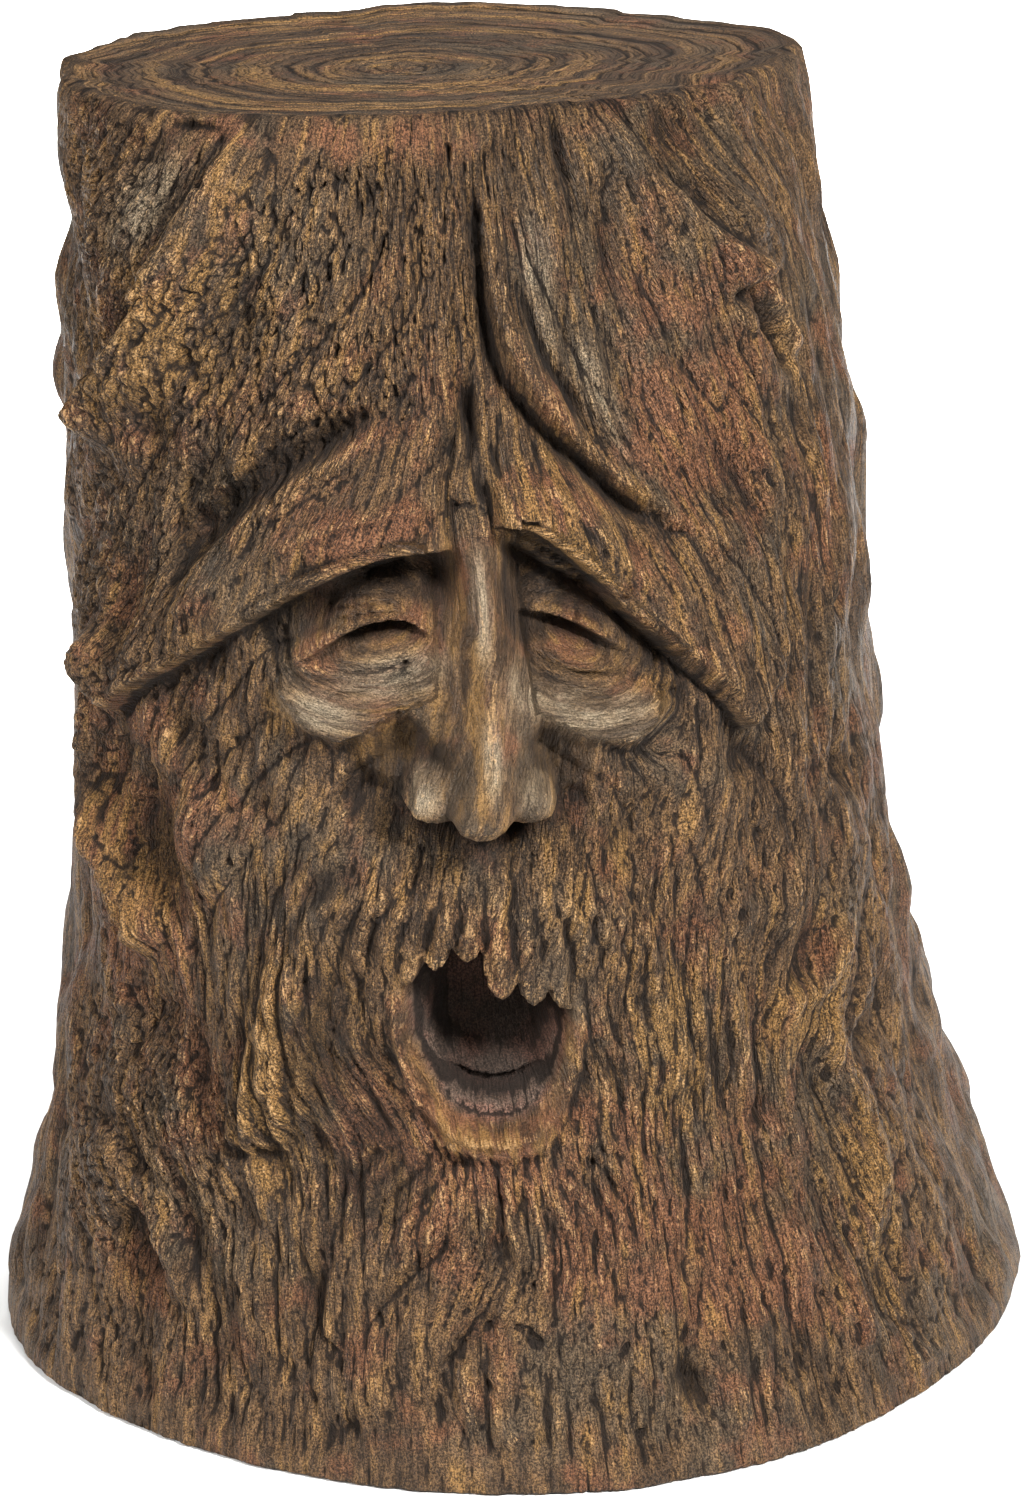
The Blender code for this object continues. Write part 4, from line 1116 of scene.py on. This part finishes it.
def grain(tree, straight, width, stretch, detail=2.0):
    """Noise drawn out along the strands; width is in metres."""
    place = add(tree, "ShaderNodeVectorMath", ((0, straight), (1, (1.0, 1.0, 1.0 / stretch))),
                operation="MULTIPLY").outputs[0]
    return even_noise(tree, place, 1.0 / width, detail, 0.55)


def crease_of(tree, noise):
    """1 on a rounded strand and 0 in the sharp crease beside it."""
    gap = sum_of(tree, "ABSOLUTE", sum_of(tree, "SUBTRACT", noise, 0.5))
    return sum_of(tree, "MINIMUM", sum_of(tree, "POWER", times(tree, gap, 7.0), 0.55), 1.0)


def new_material(name):
    """A new material and its shader."""
    material = bpy.data.materials.new(name)
    material.use_nodes = True
    return material, material.node_tree.nodes["Principled BSDF"]


def bark_fields(tree):
    """The painted shares and the noises that the bark's colour and bump are made from."""
    carving = add(tree, "ShaderNodeAttribute", attribute_name="carving").outputs
    area = add(tree, "ShaderNodeAttribute", attribute_name="area").outputs
    straight = add(tree, "ShaderNodeAttribute", attribute_name="straight").outputs["Vector"]
    place = add(tree, "ShaderNodeTexCoord").outputs["Object"]
    crest, hollow, red = add(tree, "ShaderNodeSeparateColor", (("Color", carving["Color"]),)).outputs
    skin, mouth_inside, silver_sheen = add(tree, "ShaderNodeSeparateColor", (("Color", area["Color"]),)).outputs
    return SimpleNamespace(
        place=place, crest=crest, hollow=hollow, red=red, ochre=carving["Alpha"],
        skin=skin, mouth=mouth_inside, silver_sheen=silver_sheen,
        calm=larger(tree, skin, larger(tree, mouth_inside, area["Alpha"])),
        strand=crease_of(tree, grain(tree, straight, STRAND_WIDTH, 7.0)),
        thread=crease_of(tree, grain(tree, straight, THREAD_WIDTH, 5.0)),
        streak=grain(tree, straight, STREAK_WIDTH, 6.0, 4.0),
        grit=even_noise(tree, place, 1300.0, 3.0, 0.65),
        patch=even_noise(tree, place, 38.0, 4.0, 0.6),
        cloud=even_noise(tree, place, 16.0, 3.0, 0.6))


def cast_colour(tree, field):
    """Brown streaks with grey, red and amber patches, silver-grey planes with a painted sheen, and the
    inside of the mouth.
    """
    base = blend(tree, ramp(tree, field.streak, 0.36, 0.64), DARK_BROWN, WARM_BROWN)
    base = blend(tree, times(tree, ramp(tree, field.cloud, 0.48, 0.64), 0.4), base, GREY_BROWN)
    red_tone = weighed(tree, (field.patch, 1.0), (field.red, 0.2))
    base = blend(tree, times(tree, ramp(tree, red_tone, 0.50, 0.70), 0.65), base, RED_BROWN)
    amber_tone = weighed(tree, (field.streak, 1.0), (field.ochre, 0.22))
    base = blend(tree, times(tree, ramp(tree, amber_tone, 0.52, 0.72), 0.7), base, AMBER)
    # painted sheen: the smooth planes lightened towards silver-grey, over their own grey paint
    sheen_tone = weighed(tree, (field.patch, 0.4), (field.streak, 0.6))
    sheen_share = times(tree, field.silver_sheen, ramp(tree, sheen_tone, 0.42, 0.60, 0.15, 0.9))
    base = blend(tree, sheen_share, base, SILVER_SHEEN)
    mouth_tone = blend(tree, ramp(tree, field.patch, 0.42, 0.6), MOUTH_BROWN, MOUTH_RED)
    return blend(tree, field.mouth, base, mouth_tone)


def worn_and_shaded_colour(tree, field, rough, base):
    """The colour with rubbed crests and with painted shade in its creases and hollows, and the share of
    that shade.
    """
    rub = weighed(tree, (field.strand, 0.35), (field.crest, 1.05), (field.thread, 0.6), (field.ochre, 0.12),
                  (field.patch, 0.7), (field.grit, 0.6), (field.calm, -0.2))
    rubbed = times(tree, ramp(tree, rub, 2.20, 2.58), 0.46)
    base = blend(tree, times(tree, rubbed, one_less(tree, field.mouth)), base, RUBBED_CREST)
    speckle = ramp(tree, field.grit, 0.38, 0.62, 0.35, 1.75)
    base = blend(tree, one_less(tree, field.skin, 0.5), base, speckle, "MULTIPLY")
    # painted shade: dark where the carving is creased and in its broad hollows
    painted_shade = times(tree, ramp(tree, field.crest, 0.44, 0.14), 0.9)
    painted_shade = times(tree, painted_shade, one_less(tree, field.skin, 0.65))
    painted_shade = larger(tree, painted_shade, times(tree, ramp(tree, field.hollow, 0.42, 0.05), 0.7))
    base = blend(tree, painted_shade, base, PAINTED_SHADE_COLOUR)
    # painted shade in the creases of the small strands and threads
    crease_shade = times(tree, ramp(tree, field.strand, 0.5, 0.0), times(tree, rough, 0.95))
    crease_shade = larger(tree, crease_shade, times(tree, ramp(tree, field.thread, 0.45, 0.0), 0.8))
    return blend(tree, crease_shade, base, CREASE_SHADE_COLOUR), larger(tree, painted_shade, crease_shade)


def bark_material():
    """Dark brown cast bark with rubbed crests, painted shade in its creases and hollows, and silver-grey
    planes with a painted sheen.
    """
    material, shader = new_material("carved_bark")
    tree = material.node_tree
    field = bark_fields(tree)
    rough = one_less(tree, field.calm, 0.45)
    base, painted_shade = worn_and_shaded_colour(tree, field, rough, cast_colour(tree, field))
    height = times(tree, weighed(tree, (field.strand, 0.9), (field.thread, 0.6)), rough)
    height = sum_of(tree, "MULTIPLY_ADD", field.grit, 0.8, height)
    bump = add(tree, "ShaderNodeBump", (("Strength", 1.0), ("Distance", BUMP_DEPTH), ("Height", height)))
    dullness = ramp(tree, field.skin, 0.0, 1.0, 0.32, 0.24)
    dullness = weighed(tree, (dullness, 1.0), (field.grit, 0.3), (painted_shade, 0.4))
    above_floor = add(tree, "ShaderNodeSeparateXYZ", ((0, field.place),)).outputs[2]
    on_top = ramp(tree, above_floor, TOP_EDGE_LOW * SHARE, TOP_EDGE_HIGH * SHARE, 0.0, 0.3)
    tree.links.new(base, shader.inputs["Base Color"])
    tree.links.new(bump.outputs[0], shader.inputs["Normal"])
    tree.links.new(sum_of(tree, "ADD", dullness, on_top), shader.inputs["Roughness"])
    shader.inputs["Specular IOR Level"].default_value = 0.22
    return material


def make_stump():
    """The carved stump, in place of the part's solid. Returns how far its raw outline was shifted."""
    mesh = reduced(stump_mesh())
    places = np.empty(len(mesh.vertices) * 3)
    mesh.vertices.foreach_get("co", places)
    places = places.reshape(-1, 3)
    middle = (places.min(axis=0) + places.max(axis=0)) / 2.0
    shift = np.array([(BOX_LOW.x + BOX_HIGH.x) / 2 - middle[0], (BOX_LOW.y + BOX_HIGH.y) / 2 - middle[1],
                      BOX_LOW.z])
    places += shift
    mesh.vertices.foreach_set("co", places.ravel())
    mesh.update()
    mesh.materials.clear()
    mesh.materials.append(bark_material())
    mesh.shade_smooth()
    stump = new_object(NAME + "_carved", mesh)
    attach(stump, "root")
    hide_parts(NAME)
    return shift


def make_floor():
    """Plain pale floor."""
    mesh = bpy.data.meshes.new("floor")
    half = FLOOR_SIZE / 2
    corners = [(-half, -half, 0), (half, -half, 0), (half, half, 0), (-half, half, 0)]
    mesh.from_pydata(corners, [], [(0, 1, 2, 3)])
    floor = new_object("floor", mesh)
    floor.location.z = BOX_LOW.z - FLOOR_GAP
    material, shader = new_material("pale_floor")
    shader.inputs["Base Color"].default_value = FLOOR_COLOUR
    shader.inputs["Roughness"].default_value = 0.8
    mesh.materials.append(material)


def make_lamp(name, place, aim, power, size, spread):
    """A soft square lamp that looks from its place at its aim; spread is in degrees."""
    data = bpy.data.lights.new(name, "AREA")
    data.energy = power
    data.size = size
    data.spread = math.radians(spread)
    lamp = new_object(name, data)
    lamp.location = place
    lamp.rotation_euler = (Vector(aim) - Vector(place)).to_track_quat("-Z", "Y").to_euler()


def make_camera(shift):
    """The camera at the photograph's angle."""
    data = bpy.data.cameras.new("camera")
    data.sensor_fit = "VERTICAL"
    data.sensor_height = SENSOR_HEIGHT
    data.lens = CAMERA_LENS
    camera = new_object("camera", data)
    camera.location = (shift[0], shift[1] - CAMERA_AWAY, BOX_LOW.z + CAMERA_UP)
    camera.rotation_euler = (math.radians(90.0 - CAMERA_DIP), 0.0, 0.0)
    bpy.context.scene.camera = camera


def make_studio():
    """Soft light from four lamps and a pale world."""
    for lamp in LAMPS:
        make_lamp(*lamp)
    world = bpy.data.worlds.new("studio")
    world.use_nodes = True
    background = world.node_tree.nodes["Background"]
    background.inputs["Color"].default_value = (1.0, 1.0, 1.0, 1.0)
    background.inputs["Strength"].default_value = WORLD_LIGHT
    bpy.context.scene.world = world
    bpy.context.scene.view_settings.view_transform = "Standard"


outline_shift = make_stump()
make_floor()
make_studio()
make_camera(outline_shift)
